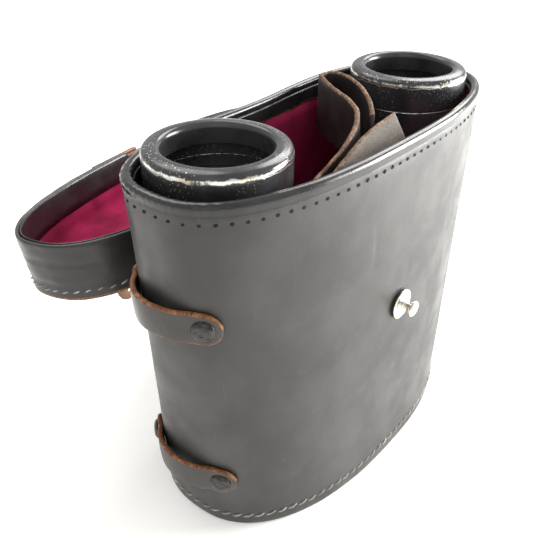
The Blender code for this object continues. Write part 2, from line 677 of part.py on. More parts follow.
def build_eyepiece(side, way):
    centre = (way * EYE_X, 0, 0)
    sleeve_top = HOUSING_FLOOR - 2 * GAP - COVER_PLATE
    bore = OCULAR_RADIUS + GAP
    turned(f"{side}_eyepiece_sleeve", [
        (bore, sleeve_top), (SLEEVE_RADIUS + 0.0012, sleeve_top),
        (SLEEVE_RADIUS + 0.0012, sleeve_top - SLEEVE_COLLAR),
        (SLEEVE_RADIUS, sleeve_top - SLEEVE_COLLAR),
        (SLEEVE_RADIUS, SLEEVE_FLOOR), (bore, SLEEVE_FLOOR),
    ], centre, black_paint)
    inner = OCULAR_RADIUS - OCULAR_WALL
    turned(f"{side}_ocular_tube", [
        (inner, OCULAR_TOP), (OCULAR_RADIUS, OCULAR_TOP), (OCULAR_RADIUS, FLANGE_TOP),
        (FLANGE_RADIUS, FLANGE_TOP), (FLANGE_RADIUS, EYECUP_TOP + GAP),
        (EYE_LENS_RADIUS + EYE_CELL, EYECUP_TOP + GAP),
        (EYE_LENS_RADIUS + EYE_CELL, OCULAR_FLOOR), (EYE_LENS_RADIUS + GAP, OCULAR_FLOOR),
        (EYE_LENS_RADIUS + GAP, EYE_LENS_TOP + 0.0020), (inner, EYE_LENS_TOP + 0.0040),
    ], centre, black_paint)
    turned(f"{side}_eye_lens", [
        (0, EYE_LENS_TOP), (EYE_LENS_RADIUS, EYE_LENS_TOP - 0.0010),
        (EYE_LENS_RADIUS, EYE_LENS_FLOOR + 0.0013), (0, EYE_LENS_FLOOR),
    ], centre, glass, SMALL_ROUND, closed=False)
    cup_bore = EYE_LENS_RADIUS + EYE_CELL + GAP
    turned(f"{side}_eyecup", [
        (cup_bore, EYECUP_TOP), (EYECUP_RADIUS - 0.0020, EYECUP_TOP),
        (EYECUP_RADIUS, EYECUP_TOP - 0.0030), (EYECUP_RADIUS, EYECUP_FLOOR + 0.0012),
        (EYECUP_RADIUS - 0.0012, EYECUP_FLOOR), (cup_bore + 0.0024, EYECUP_FLOOR),
        (cup_bore - 0.0040, EYECUP_FLOOR + 0.0030), (cup_bore - 0.0040, OCULAR_FLOOR - GAP),
        (cup_bore, OCULAR_FLOOR - GAP),
    ], centre, rubber)


def build_bridge(side, way):
    """One arm of the eyepiece bridge, from the spindle to its ocular tube."""
    low = BRIDGE_FLOOR if way < 0 else BRIDGE_FLOOR + BRIDGE_THICKNESS + GAP
    high = low + BRIDGE_THICKNESS
    name = f"{side}_bridge_arm"
    outline = [(0, -BRIDGE_HALF), (way * EYE_X, -BRIDGE_HALF), (way * EYE_X, BRIDGE_HALF),
               (0, BRIDGE_HALF)]
    arm = plate(name, outline, low, high, black_paint)
    combine(arm, disc(f"{side}_boss", (0, 0), BRIDGE_BOSS, low, high, cutters,
                      SMALL_ROUND), "UNION")
    combine(arm, disc(f"{side}_clamp", (way * EYE_X, 0), FLANGE_RADIUS + 0.0020, low, high,
                      cutters), "UNION")
    combine(arm, disc(f"{side}_clamp_bore", (way * EYE_X, 0), FLANGE_RADIUS + GAP,
                      low - 0.002, high + 0.002, cutters), "DIFFERENCE")
    combine(arm, disc(f"{side}_boss_bore", (0, 0), SPINDLE_RADIUS + GAP,
                      low - 0.002, high + 0.002, cutters, SMALL_ROUND), "DIFFERENCE")


def build_centre():
    shaft_low, shaft_top = HOUSING_FLOOR + 0.0050, HOUSING_FLOOR + 0.0475
    turned("hinge_shaft", [
        (0, shaft_top + 0.0030), (ARM_RADIUS - 0.0010, shaft_top + 0.0030),
        (ARM_RADIUS, shaft_top + 0.0015), (ARM_RADIUS, shaft_top),
        (SHAFT_RADIUS, shaft_top), (SHAFT_RADIUS, shaft_low), (0, shaft_low),
    ], (0, 0, 0), black_paint, SMALL_ROUND, closed=False)
    turned("focus_wheel", [
        (0, shaft_low - GAP), (SPINDLE_RADIUS, shaft_low - GAP), (SPINDLE_RADIUS, WHEEL_TOP),
        (WHEEL_RADIUS - 0.0010, WHEEL_TOP), (WHEEL_RADIUS, WHEEL_TOP - 0.0010),
        (WHEEL_RADIUS, WHEEL_FLOOR + 0.0010), (WHEEL_RADIUS - 0.0010, WHEEL_FLOOR),
        (SPINDLE_RADIUS, WHEEL_FLOOR), (SPINDLE_RADIUS, SPINDLE_FLOOR), (0, SPINDLE_FLOOR),
    ], (0, 0, 0), black_paint, closed=False)


def build_strap():
    """The neck strap. Its square end leans on the front wall. From there it turns back,
    runs between the tubes to the back wall, folds over and comes forward again. Each
    point is x, y and height of its top edge, and its lean towards the front in degrees."""
    turns = [
        (0.0165, -0.0235, 0.1747, 34), (0.0090, -0.0234, 0.1738, 34),
        (0.0010, -0.0235, 0.1727, 33), (-0.0085, -0.0244, 0.1712, 30),
        (-0.0195, -0.0266, 0.1696, 24), (-0.0305, -0.0293, 0.1680, 19),
        (-0.0375, -0.0296, 0.1655, 17), (-0.0405, -0.0266, 0.1630, 15),
        (-0.0385, -0.0234, 0.1625, 14), (-0.0326, -0.0218, 0.1630, 13),
        (-0.0250, -0.0226, 0.1670, 12), (-0.0171, -0.0216, 0.1695, 11),
        (-0.0071, -0.0189, 0.1725, 10), (-0.0009, -0.0163, 0.1745, 8),
        (0.0055, -0.0120, 0.1765, 5), (0.0088, -0.0076, 0.1775, 2),
        (0.0133, 0.0003, 0.1785, 0), (0.0177, 0.0097, 0.1790, 0),
        (0.0244, 0.0191, 0.1790, 0), (0.0278, 0.0237, 0.1790, 0),
        (0.0320, 0.0265, 0.1788, 0), (0.0370, 0.0255, 0.1787, 0),
        (0.0388, 0.0205, 0.1786, 0), (0.0370, 0.0127, 0.1784, 0),
        (0.0310, 0.0030, 0.1778, 0), (0.0226, -0.0068, 0.1765, 2),
        (0.0140, -0.0142, 0.1754, 5), (0.0085, -0.0180, 0.1746, 8),
    ]
    upper = [Vector((x, y, top)) for x, y, top, _ in turns]
    lower = []
    for edge, (*_, lean) in zip(upper, turns):
        slope = math.radians(lean)
        lower.append(edge - STRAP_WIDTH * Vector((0, math.sin(slope), math.cos(slope))))
    ribbon("neck_strap", (lower, upper), STRAP_LEATHER, brown_leather)


# ---------------------------------------------------------------- assembly

def build_all():
    wall = build_case()
    build_loops(wall)
    build_stud(wall)

    pivot = lid_pivot()
    hang_on(pivot, *build_lid(), build_hinge_strips(), build_tongue_root())
    tongue_pivot = bpy.data.objects.new("tongue_pivot", None)
    parts.objects.link(tongue_pivot)
    tongue_pivot.location = (0, tongue_plane() - TONGUE_OFFSET, TONGUE_HINGE_HEIGHT)
    tongue_pivot.rotation_euler = (math.pi / 2 - TONGUE_FOLD, 0, 0)
    hang_on(pivot, tongue_pivot)
    for piece in build_tongue():
        piece.parent = tongue_pivot

    for side, way in SIDES.items():
        build_objective(side, way)
        build_housing(side, way)
        build_eyepiece(side, way)
        build_bridge(side, way)
    build_centre()
    build_strap()


build_all()
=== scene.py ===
"""The looks of prism binoculars in their leather case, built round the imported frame.

Metres, in the frame's own axes: X along the case, the front with its stud facing -Y, and
+Z up. The lid's pieces are made where they sit when it is closed, and swung open.
"""

import functools
import json
import math

import bmesh
import bpy
from mathutils import Matrix, Vector, noise

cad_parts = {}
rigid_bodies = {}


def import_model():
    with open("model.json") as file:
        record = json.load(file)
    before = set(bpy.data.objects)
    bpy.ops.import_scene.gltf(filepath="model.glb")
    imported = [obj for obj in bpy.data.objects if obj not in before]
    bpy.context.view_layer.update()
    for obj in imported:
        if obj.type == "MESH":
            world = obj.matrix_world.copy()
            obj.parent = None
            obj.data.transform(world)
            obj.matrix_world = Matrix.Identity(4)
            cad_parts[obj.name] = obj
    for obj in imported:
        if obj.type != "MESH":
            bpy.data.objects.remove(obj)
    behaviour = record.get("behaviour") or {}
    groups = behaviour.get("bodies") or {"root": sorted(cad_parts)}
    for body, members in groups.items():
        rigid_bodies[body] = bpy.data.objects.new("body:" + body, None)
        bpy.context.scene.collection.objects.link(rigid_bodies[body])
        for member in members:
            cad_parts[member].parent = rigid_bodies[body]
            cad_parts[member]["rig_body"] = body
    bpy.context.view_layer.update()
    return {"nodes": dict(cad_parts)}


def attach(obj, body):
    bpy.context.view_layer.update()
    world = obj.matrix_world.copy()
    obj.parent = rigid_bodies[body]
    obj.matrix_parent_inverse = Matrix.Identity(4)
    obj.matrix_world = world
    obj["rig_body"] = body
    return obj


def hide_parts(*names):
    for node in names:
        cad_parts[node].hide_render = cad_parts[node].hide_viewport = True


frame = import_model()
nodes = frame["nodes"]
scene = bpy.context.scene

FULL_TURN = 2 * math.pi

# Sizes that the frame has too
GAP = 0.0003  # air kept between pieces that touch
CASE_HEIGHT = 0.1734
MOUTH = (0.1053, 0.0432, 2.6)  # half length, half width, squareness
FOOT = (0.093, 0.0512, 2.4)
MOUTH_SHIFT = -0.0007
MOUTH_SAG, BACK_SAG, MOUTH_REACH, BACK_REACH, SAG_X = 0.17, 0.2, 0.05, 0.07, -0.015
LEVELS = (0, 0.25, 0.5, 0.71, 0.85, 1)
LID = (0.1053, 0.0422, 2.5)
LID_SHIFT, LID_EDGE, LID_HEIGHT, LID_TAPER = -0.0015, 0.1738, 0.0278, 0.0021
HINGE = Vector((0, 0.0443, 0.1544))
HINGE_SKEW, LID_OPEN = math.radians(5.5), math.radians(187)
RIVET_FRONT, RIVET_BACK, LOOP_END = 0.019, -0.0262, 0.007
LOOP_WIDTH, LOOP_LEATHER = 0.015, 0.0022
LOOP_HEIGHTS = {"upper": 0.1212, "lower": 0.033}
RIVET_HEAD = 0.00485
STUD_HEIGHT = 0.0935
OBJECTIVE_X, EYE_X = 0.0685, 0.0325
RING_RADIUS, RING_OPENING, RING_TOP, RING_DEPTH = 0.0285, 0.0208, 0.1806, 0.0152
NECK_RADIUS, NECK_TOP, NECK_FOOT, TUBE_WALL = 0.0235, 0.114, 0.1063, 0.002
PORT_RADIUS, PORT_TOP = 0.013, 0.1087
LENS_HEIGHT, LENS_RADIUS = 0.156, 0.0252
SLEEVE_RADIUS, SLEEVE_FLOOR, SLEEVE_TOP = 0.016, 0.028, 0.0472
OCULAR_RADIUS, OCULAR_WALL = 0.0138, 0.0016
TONGUE_ROOT_WIDTH, TONGUE_ROOT_LOW, TONGUE_ROOT_TOP = 0.05, 0.1778, 0.195
STRAP_WIDTH, STRAP_LEATHER = 0.026, 0.0022
SIDES = {"left": -1, "right": 1}

# Details that only show here
RIM = 0.0044  # the rolled rim's thickness
BAND_FLOOR = CASE_HEIGHT - 0.011
LOOP_BULGE = 0.0034  # empty loops lie flatter than the frame's, which leave room for a strap
HOLE_DROP, HOLE_PITCH = 0.0078, 0.0056
STITCH_RISE, STITCH_PITCH = 0.007, 0.0054
LID_STITCH_DEPTH, LID_STITCH_PITCH = 0.0232, 0.0052
WALL_POINTS = 360
OUTLINE_POINTS = 960
CASE_MIDDLE = Vector((0, 0, 0.1))


# ---- small mathematics

def mix(low, high, share):
    return low + (high - low) * share


def ease(value, low, high):
    """0 below low and 1 above high, turning smoothly between them."""
    share = min(1.0, max(0.0, (value - low) / (high - low)))
    return share * share * (3 - 2 * share)


def signed_power(value, power):
    return math.copysign(abs(value) ** power, value)


def rough(x, y, z, scale):
    """Smooth noise from about -1 to 1, with features about 1 / scale metres wide."""
    return noise.noise(Vector((x, y, z)) * scale)


def oval(half_length, half_width, power):
    turns = (FULL_TURN * step / OUTLINE_POINTS for step in range(OUTLINE_POINTS))
    return [
        (half_length * signed_power(math.cos(turn), 2 / power),
         half_width * signed_power(math.sin(turn), 2 / power))
        for turn in turns
    ]


def spaced(line, shares):
    """Points at the given shares, in rising order, of the way along a line of points."""
    reached = [0.0]
    for here, after in zip(line, line[1:]):
        reached.append(reached[-1] + (after - here).length)
    points, index = [], 0
    for part in shares:
        goal = reached[-1] * part
        while index < len(line) - 2 and reached[index + 1] <= goal:
            index += 1
        share = (goal - reached[index]) / (reached[index + 1] - reached[index])
        points.append(line[index].lerp(line[index + 1], share))
    return points


def evenly(outline, count):
    """A closed outline with its points spread evenly along it."""
    line = [Vector(point) for point in (*outline, outline[0])]
    return spaced(line, (step / count for step in range(count)))


def open_length(outline):
    """The length along an outline from its first point to its last."""
    return sum((Vector(a) - Vector(b)).length for a, b in zip(outline, outline[1:]))


def through(route, count):
    """A smooth open curve through a route's points, as count points along it."""
    route = [Vector(point) for point in route]
    ends = [2 * route[0] - route[1], *route, 2 * route[-1] - route[-2]]
    fine = []
    for before, here, after, beyond in zip(ends, ends[1:], ends[2:], ends[3:]):
        for step in range(24):
            t = step / 24
            fine.append(0.5 * (
                2 * here + (after - before) * t
                + (2 * before - 5 * here + 4 * after - beyond) * t ** 2
                + (3 * here - before - 3 * after + beyond) * t ** 3))
    fine.append(route[-1])
    return spaced(fine, (step / (count - 1) for step in range(count)))


# ---- the two outlines

def level_outline(up, inset):
    below = min(1, (1 - up) / (1 - LEVELS[-2]))
    press = mix(MOUTH_SAG, BACK_SAG, below) * math.sin(math.pi / 2 * min(1, 1.5 * up))
    reach = mix(MOUTH_REACH, BACK_REACH, below)
    length, width, power = (mix(low, high, up) for low, high in zip(FOOT, MOUTH))
    points = []
    for x, y in oval(length - inset, width - inset, power):
        sag = press * math.exp(-(((x - SAG_X) / reach) ** 2)) if y > 0 else 0
        points.append((x, y * (1 - sag) + MOUTH_SHIFT * up))
    return points


@functools.lru_cache(maxsize=None)
def case_outline(height, inset):
    share = min(1.0, height / CASE_HEIGHT)
    low = max(level for level in LEVELS[:-1] if level <= share)
    high = min(level for level in LEVELS if level > low)
    rise = (share - low) / (high - low)
    pairs = zip(level_outline(low, inset), level_outline(high, inset))
    return [(mix(x0, x1, rise), mix(y0, y1, rise)) for (x0, y0), (x1, y1) in pairs]


@functools.lru_cache(maxsize=None)
def lid_outline(height, inset):
    up = (height - LID_EDGE) / LID_HEIGHT
    length, width, power = LID
    taper = LID_TAPER * up + inset
    return [(x, y + LID_SHIFT) for x, y in oval(length - taper, width - taper, power)]


def on_wall(height, start, travel, offset):
    """A point travel metres along the case wall from the outline's point in the
    direction start, moved out by offset, and the way out of the wall there."""
    outline = case_outline(height, 0.0)
    count = len(outline)
    index, step = round(start / FULL_TURN * count) % count, 1 if travel > 0 else -1
    left = abs(travel)
    while True:
        here, after = Vector(outline[index]), Vector(outline[(index + step) % count])
        length = (after - here).length
        if left <= length:
            break
        left -= length
        index = (index + step) % count
    along = (after - here).normalized() * step
    outward = Vector((along.y, -along.x, 0))
    spot = here.lerp(after, left / length)
    return Vector((spot.x, spot.y, height)) + outward * offset, outward


def out_of_wall(height, start, travel):
    """The move that takes a piece from the origin to the wall, with its +Z pointing out."""
    spot, outward = on_wall(height, start, travel, 0)
    return Matrix.Translation(spot) @ outward.to_track_quat("Z", "Y").to_matrix().to_4x4()


OPEN_LID = (
    Matrix.Translation(HINGE)
    @ Matrix.Rotation(-LID_OPEN, 4, Vector((math.cos(HINGE_SKEW), math.sin(HINGE_SKEW), 0)))
    @ Matrix.Translation(-HINGE)
)


# ---- material helpers

def feed(tree, node, inputs):
    """A node, with its inputs given as values or as other nodes' outputs."""
    for name, value in inputs.items():
        if isinstance(value, bpy.types.NodeSocket):
            tree.links.new(value, node.inputs[name])
        else:
            node.inputs[name].default_value = value
    return node


def add(tree, kind, inputs, **settings):
    node = tree.nodes.new("ShaderNode" + kind)
    for name, value in settings.items():
        setattr(node, name, value)
    return feed(tree, node, inputs)


def place(tree, stretch=(1, 1, 1)):
    """The piece's own coordinates, stretched."""
    coordinates = add(tree, "TexCoord", {}).outputs["Object"]
    return add(tree, "Mapping", {"Vector": coordinates, "Scale": stretch}).outputs[0]


def grain(tree, scale, detail, stretch=(1, 1, 1), roughness=0.55):
    settings = {"Vector": place(tree, stretch), "Scale": scale, "Detail": detail,
                "Roughness": roughness}
    return add(tree, "TexNoise", settings).outputs["Fac"]


def cells(tree, scale, feature="F1"):
    settings = {"Vector": place(tree), "Scale": scale}
    return add(tree, "TexVoronoi", settings, feature=feature).outputs["Distance"]


def between(tree, value, low, high, to_low=0.0, to_high=1.0):
    """value's range from low to high, remade as to_low to to_high and held at its ends."""
    settings = {"Value": value, "From Min": low, "From Max": high,
                "To Min": to_low, "To Max": to_high}
    node = add(tree, "MapRange", settings, interpolation_type="SMOOTHSTEP")
    return node.outputs[0]


def patches(tree, scale, detail, low, high, *to):
    """Blotches of grain, from its range low to high."""
    return between(tree, grain(tree, scale, detail), low, high, *to)


def maths(tree, operation, first, second=0.0):
    return add(tree, "Math", {0: first, 1: second}, operation=operation).outputs[0]


def times(tree, first, second):
    return maths(tree, "MULTIPLY", first, second)


def tint(tree, share, first, second):
    """first where share is 0 and second where it is 1, each a colour or an output."""
    first, second = (
        (*colour, 1) if isinstance(colour, tuple) else colour for colour in (first, second))
    return add(tree, "Mix", {0: share, 6: first, 7: second}, data_type="RGBA").outputs[2]


def bumps(tree, *layers):
    """One normal from layers of (height output, strength, distance)."""
    normal = None
    for height, strength, distance in layers:
        settings = {"Height": height, "Strength": strength, "Distance": distance}
        if normal:
            settings["Normal"] = normal
        normal = add(tree, "Bump", settings).outputs[0]
    return normal


def wire(material, **inputs):
    """A Principled material, with its shader's inputs given as values or as outputs."""
    tree = material.node_tree
    feed(tree, tree.nodes["Principled BSDF"],
         {name.replace("_", " "): value for name, value in inputs.items()})
    return material


def finish(name, **inputs):
    """A new material with its shader's plain values, and its node tree."""
    material = bpy.data.materials.new(name)
    material.use_nodes = True
    return wire(material, **inputs), material.node_tree


def dust(tree, colour, scale=420):
    """colour with scattered pale specks of dust."""
    speck = between(tree, cells(tree, scale), 0.06, 0.033)
    few = patches(tree, 60, 2, 0.6, 0.68)
    return tint(tree, times(tree, speck, few), colour, (0.62, 0.6, 0.56))


# ---- materials

def leather(name, dark, light, gloss=(0.34, 0.52), coarse=1.0):
    """Dyed leather: mottled, finely grained, with faint creases and rubbed patches."""
    material, tree = finish(name, Specular_IOR_Level=0.5)
    mottle = patches(tree, 34, 4, 0.3, 0.72)
    colour = tint(tree, mottle, dark, light)
    scuff = between(tree, grain(tree, 120, 5, (1, 1, 0.16), 0.7), 0.62, 0.78)
    pale = tuple(channel * 1.9 + 0.012 for channel in light)
    colour = dust(tree, tint(tree, times(tree, scuff, 0.55), colour, pale))
    shine = patches(tree, 55, 5, 0.32, 0.7, *gloss)
    pores = cells(tree, 900 * coarse, feature="SMOOTH_F1")
    return wire(material, Base_Color=colour, Roughness=shine, Normal=bumps(
        tree, (pores, 0.2, 0.00012), (grain(tree, 1900 * coarse, 3), 0.16, 0.00008),
        (grain(tree, 70, 4, (1, 1, 0.5)), 0.18, 0.0006)))


def strap_face():
    """The strap's grain side: grey and speckled at its end, and dark brown as painted shade towards
    the back, where it lies in shadow inside the case.
    """
    material, tree = finish("strap_grain", Specular_IOR_Level=0.35)
    mottle = patches(tree, 60, 5, 0.3, 0.72)
    worn = tint(tree, mottle, (0.09, 0.073, 0.058), (0.21, 0.178, 0.14))
    specks = between(tree, grain(tree, 1500, 3, roughness=0.8), 0.52, 0.6)
    worn = tint(tree, times(tree, specks, 0.75), worn, (0.03, 0.023, 0.018))
    # Painted shade: from y = -0.0222 to -0.0175 and behind it the grain side turns near black,
    # standing in for the shadow the strap lies in
    y = add(tree, "SeparateXYZ", {"Vector": place(tree)}).outputs["Y"]
    painted_shade = tint(tree, mottle, (0.012, 0.007, 0.008), (0.034, 0.02, 0.021))
    return wire(material, Base_Color=tint(tree, between(tree, y, -0.0222, -0.0175), worn, painted_shade),
                Roughness=between(tree, mottle, 0, 1, 0.5, 0.68),
                Normal=bumps(tree, (specks, 0.25, 0.00012), (grain(tree, 70, 4), 0.2, 0.0006)))


def raw_edge(name, dark, light):
    """The cut edge of thick leather: fibres in tan and brown, rubbed pale in places."""
    material, tree = finish(name, Specular_IOR_Level=0.35)
    fibre = between(tree, grain(tree, 900, 4, (1, 1, 0.35), 0.7), 0.34, 0.66)
    patch = patches(tree, 150, 4, 0.35, 0.65)
    colour = tint(tree, fibre, dark, light)
    colour = tint(tree, times(tree, patch, 0.6), colour, dark)
    return wire(material, Base_Color=colour,
                Roughness=between(tree, patch, 0, 1, 0.48, 0.75),
                Normal=bumps(tree, (grain(tree, 1300, 4, (1, 1, 0.4)), 0.6, 0.0003)))


def velvet_cloth():
    """Crimson velvet: a deep nap, brushed lighter and darker, with sheen."""
    material, tree = finish(
        "crimson_velvet", Roughness=0.92, Specular_IOR_Level=0.15, Sheen_Weight=0.3,
        Sheen_Roughness=0.35, Sheen_Tint=(1.0, 0.12, 0.3, 1))
    brushed = between(tree, grain(tree, 46, 5, (1, 1, 0.6)), 0.28, 0.72)
    colour = tint(tree, brushed, (0.17, 0.004, 0.03), (0.42, 0.016, 0.09))
    pile = grain(tree, 2600, 2)
    colour = tint(tree, between(tree, pile, 0.3, 0.7, 0, 0.35), colour, (0.085, 0.002, 0.014))
    return wire(material, Base_Color=colour,
                Normal=bumps(tree, (pile, 0.55, 0.0003), (grain(tree, 60, 4), 0.3, 0.0012)))


def from_tube(tree):
    """Distance from the nearer objective's axis."""
    axes = add(tree, "SeparateXYZ", {"Vector": place(tree)}).outputs
    x = maths(tree, "SUBTRACT", maths(tree, "ABSOLUTE", axes["X"]), OBJECTIVE_X)
    squares = maths(tree, "ADD", times(tree, x, x), times(tree, axes["Y"], axes["Y"]))
    return maths(tree, "SQRT", squares)


def worn_paint(name, line_height, line_half, ragged, outside=0.0):
    """Gloss black paint, rubbed through to bright metal along a line round the piece and
    chipped in specks. outside is how far from a tube's axis the line's wear begins."""
    material, tree = finish(name, Specular_IOR_Level=0.5)
    z = add(tree, "SeparateXYZ", {"Vector": place(tree)}).outputs["Z"]
    wander = maths(tree, "SUBTRACT", grain(tree, 210, 6, (1, 1, 0.25), 0.7), 0.5)
    above = maths(tree, "SUBTRACT", z, line_height)
    above = maths(tree, "ADD", above, times(tree, wander, ragged))
    line = between(tree, maths(tree, "ABSOLUTE", above), line_half, line_half * 0.4)
    gaps = between(tree, grain(tree, 95, 6, (1, 1, 0.4), 0.75), 0.36, 0.46)
    flecks = between(tree, cells(tree, 900), 0.26, 0.14)
    speckled = patches(tree, 60, 5, 0.47, 0.6)
    worn = times(tree, line, gaps)
    chipped = times(tree, flecks, speckled)
    if outside:
        reach = from_tube(tree)
        worn = times(tree, worn, between(tree, reach, outside, outside + 0.0005))
        chipped = times(tree, chipped, between(tree, reach, outside - 0.0038, outside - 0.003))
    bare = maths(tree, "MAXIMUM", worn, chipped)
    brassy = patches(tree, 120, 4, 0.5, 0.62)
    metal_colour = tint(tree, brassy, (0.74, 0.73, 0.7), (0.6, 0.53, 0.4))
    paint = tint(tree, patches(tree, 50, 4, 0.3, 0.7),
                 (0.022, 0.022, 0.023), (0.05, 0.05, 0.053))
    return wire(material, Base_Color=tint(tree, bare, dust(tree, paint, 900), metal_colour),
                Metallic=bare,
                Roughness=patches(tree, 90, 5, 0.3, 0.75, 0.13, 0.32),
                Normal=bumps(tree, (maths(tree, "SUBTRACT", 1.0, bare), 0.3, 0.00015),
                             (grain(tree, 700, 4), 0.08, 0.0002)))


def metal(name, light, dark, low, high):
    """Plated metal with fine scratches and tarnish, and roughness from low to high."""
    material, tree = finish(name, Metallic=1.0)
    tarnish = patches(tree, 500, 5, 0.4, 0.7)
    scores = grain(tree, 1600, 4, roughness=0.7)
    return wire(material, Base_Color=tint(tree, tarnish, light, dark),
                Roughness=between(tree, scores, 0.3, 0.7, low, high),
                Normal=bumps(tree, (scores, 0.15, 0.00006)))


def lens_glass(name, coating):
    """Clear glass with a faint coating and dust on it."""
    material, tree = finish(name, IOR=1.52, Transmission_Weight=0.92,
                            Specular_IOR_Level=0.5)
    smear = patches(tree, 140, 4, 0.35, 0.75)
    return wire(material, Base_Color=dust(tree, tint(tree, smear, coating, (0.86, 0.9, 0.92)), 700),
                Roughness=patches(tree, 300, 4, 0.4, 0.8, 0.02, 0.1))


def hard_rubber():
    material, tree = finish("hard_rubber", Specular_IOR_Level=0.45)
    faded = patches(tree, 90, 4, 0.35, 0.7)
    colour = tint(tree, faded, (0.012, 0.011, 0.01), (0.032, 0.027, 0.021))
    return wire(material, Base_Color=dust(tree, colour),
                Roughness=between(tree, faded, 0, 1, 0.38, 0.55),
                Normal=bumps(tree, (grain(tree, 1200, 3), 0.12, 0.0001)))


def thread_fibre(name, light, dark):
    """Waxed linen thread: plies twisted along it, grubby in places."""
    material, tree = finish(name, Roughness=0.8, Specular_IOR_Level=0.3)
    plies = grain(tree, 2600, 2, (1, 0.6, 0.5))
    grubby = patches(tree, 110, 4, 0.36, 0.62)
    colour = tint(tree, grubby, light, dark)
    return wire(material, Base_Color=tint(tree, between(tree, plies, 0.4, 0.6), colour, dark),
                Normal=bumps(tree, (plies, 0.5, 0.0002)))


def hole_shadow():
    material, tree = finish("stitch_hole", Roughness=0.9)
    depth = patches(tree, 900, 3, 0.35, 0.65)
    # Painted shade: the near-black colour stands in for the shadow inside each empty stitch hole,
    # darker and lighter in patches
    return wire(material, Base_Color=tint(tree, depth, (0.002, 0.002, 0.002), (0.01, 0.009, 0.008)))


def floor_card():
    material, tree = finish("pale_floor", Roughness=0.75, Specular_IOR_Level=0.2,
                            Emission_Color=(1, 0.995, 0.98, 1), Emission_Strength=0.3)
    soft = patches(tree, 1.5, 3, 0.3, 0.7)
    return wire(material, Base_Color=tint(tree, soft, (0.86, 0.85, 0.82), (0.9, 0.89, 0.87)))


case_leather = leather("case_leather", (0.034, 0.033, 0.032), (0.056, 0.054, 0.052))
rim_leather = leather("rim_leather", (0.012, 0.012, 0.012), (0.03, 0.029, 0.029), (0.13, 0.28))
band_leather = leather("band_leather", (0.01, 0.009, 0.01), (0.027, 0.024, 0.026),
                       (0.22, 0.4))
lid_leather = leather("lid_leather", (0.022, 0.021, 0.021), (0.046, 0.045, 0.043),
                      (0.26, 0.46), 0.8)
loop_leather = leather("loop_leather", (0.03, 0.026, 0.024), (0.062, 0.052, 0.047),
                       (0.26, 0.42))
brown_leather = leather("brown_leather", (0.1, 0.036, 0.016), (0.23, 0.095, 0.04),
                        (0.36, 0.55))
strap_grain = strap_face()
# Painted shade: the flesh side's colour is darkened to near black to stand in for the shadow on
# faces that turn away from the light
strap_flesh_shaded = leather("strap_flesh_shaded", (0.007, 0.0045, 0.0048), (0.022, 0.013, 0.012),
                      (0.5, 0.7), 0.6)
strap_edge = raw_edge("strap_edge", (0.036, 0.019, 0.013), (0.34, 0.18, 0.085))
tan_edge = raw_edge("tan_edge", (0.09, 0.042, 0.022), (0.42, 0.21, 0.09))
loop_edge = raw_edge("loop_edge", (0.085, 0.032, 0.014), (0.43, 0.18, 0.062))
velvet = velvet_cloth()
ring_paint = worn_paint("ring_paint", RING_TOP - 0.0032, 0.001, 0.0034, outside=0.0266)
tube_paint = worn_paint("tube_paint", RING_TOP - RING_DEPTH - 0.0004, 0.0002, 0.0006)
body_paint = worn_paint("body_paint", 0.1052, 0.0007, 0.003)
nickel = metal("nickel", (0.84, 0.81, 0.73), (0.62, 0.57, 0.46), 0.12, 0.28)
rivet_steel = metal("rivet_steel", (0.075, 0.071, 0.07), (0.048, 0.045, 0.044), 0.14, 0.3)
brass = metal("brass", (0.62, 0.44, 0.18), (0.34, 0.23, 0.09), 0.25, 0.45)
retainer = metal("retainer", (0.44, 0.43, 0.33), (0.24, 0.25, 0.19), 0.34, 0.52)
front_glass = lens_glass("front_glass", (0.5, 0.56, 0.66))
prism_glass = lens_glass("prism_glass", (0.8, 0.86, 0.84))
rubber = hard_rubber()
pale_thread = thread_fibre("pale_thread", (0.6, 0.57, 0.51), (0.26, 0.23, 0.2))
hole_shade = hole_shadow()


# ---- mesh helpers

def millimetres(*pairs):
    """Pairs given in millimetres, in metres."""
    return [(first / 1000, second / 1000) for first, second in pairs]


def skin(rows, mark=lambda band, here: 0, ring=False, caps=False):
    """Points, faces and finish numbers of a surface through closed rows of points. ring
    joins the last row to the first, and caps close both ends."""
    count = len(rows[0])
    points = [Vector(point) for row in rows for point in row]
    faces, marks = [], []
    for band in range(len(rows) if ring else len(rows) - 1):
        low, high = band * count, (band + 1) % len(rows) * count
        for here in range(count):
            after = (here + 1) % count
            faces.append((low + here, low + after, high + after, high + here))
            marks.append(mark(band, here))
    if caps:
        faces += [tuple(range(count)), tuple(range((len(rows) - 1) * count, len(points)))]
        marks += [mark(0, 0)] * 2
    return points, faces, marks


def together(shapes):
    """Several shapes' points, faces and finish numbers as one."""
    points, faces, marks = [], [], []
    for some_points, some_faces, some_marks in shapes:
        base = len(points)
        points += some_points
        faces += [tuple(base + corner for corner in face) for face in some_faces]
        marks += some_marks
    return points, faces, marks


def placed(name, data):
    """A new object in the scene."""
    item = bpy.data.objects.new(name, data)
    scene.collection.objects.link(item)
    return item


def piece(name, shape, finishes, stands_for, slot, move=None, hide=True):
    """A visible piece that rides on its CAD node's body and, if hide, replaces the node."""
    points, faces, marks = shape
    mesh = bpy.data.meshes.new(name)
    mesh.from_pydata([move @ point if move else point for point in points], [], faces)
    mesh.polygons.foreach_set("material_index", marks)
    for one in finishes:
        mesh.materials.append(one)
    work = bmesh.new()
    work.from_mesh(mesh)
    bmesh.ops.remove_doubles(work, verts=work.verts, dist=0.000001)
    bmesh.ops.recalc_face_normals(work, faces=work.faces)
    work.to_mesh(mesh)
    work.free()
    mesh.shade_smooth()
    item = placed(name, mesh)
    if hide:
        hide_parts(stands_for)
    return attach(item, nodes[stands_for]["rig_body"])


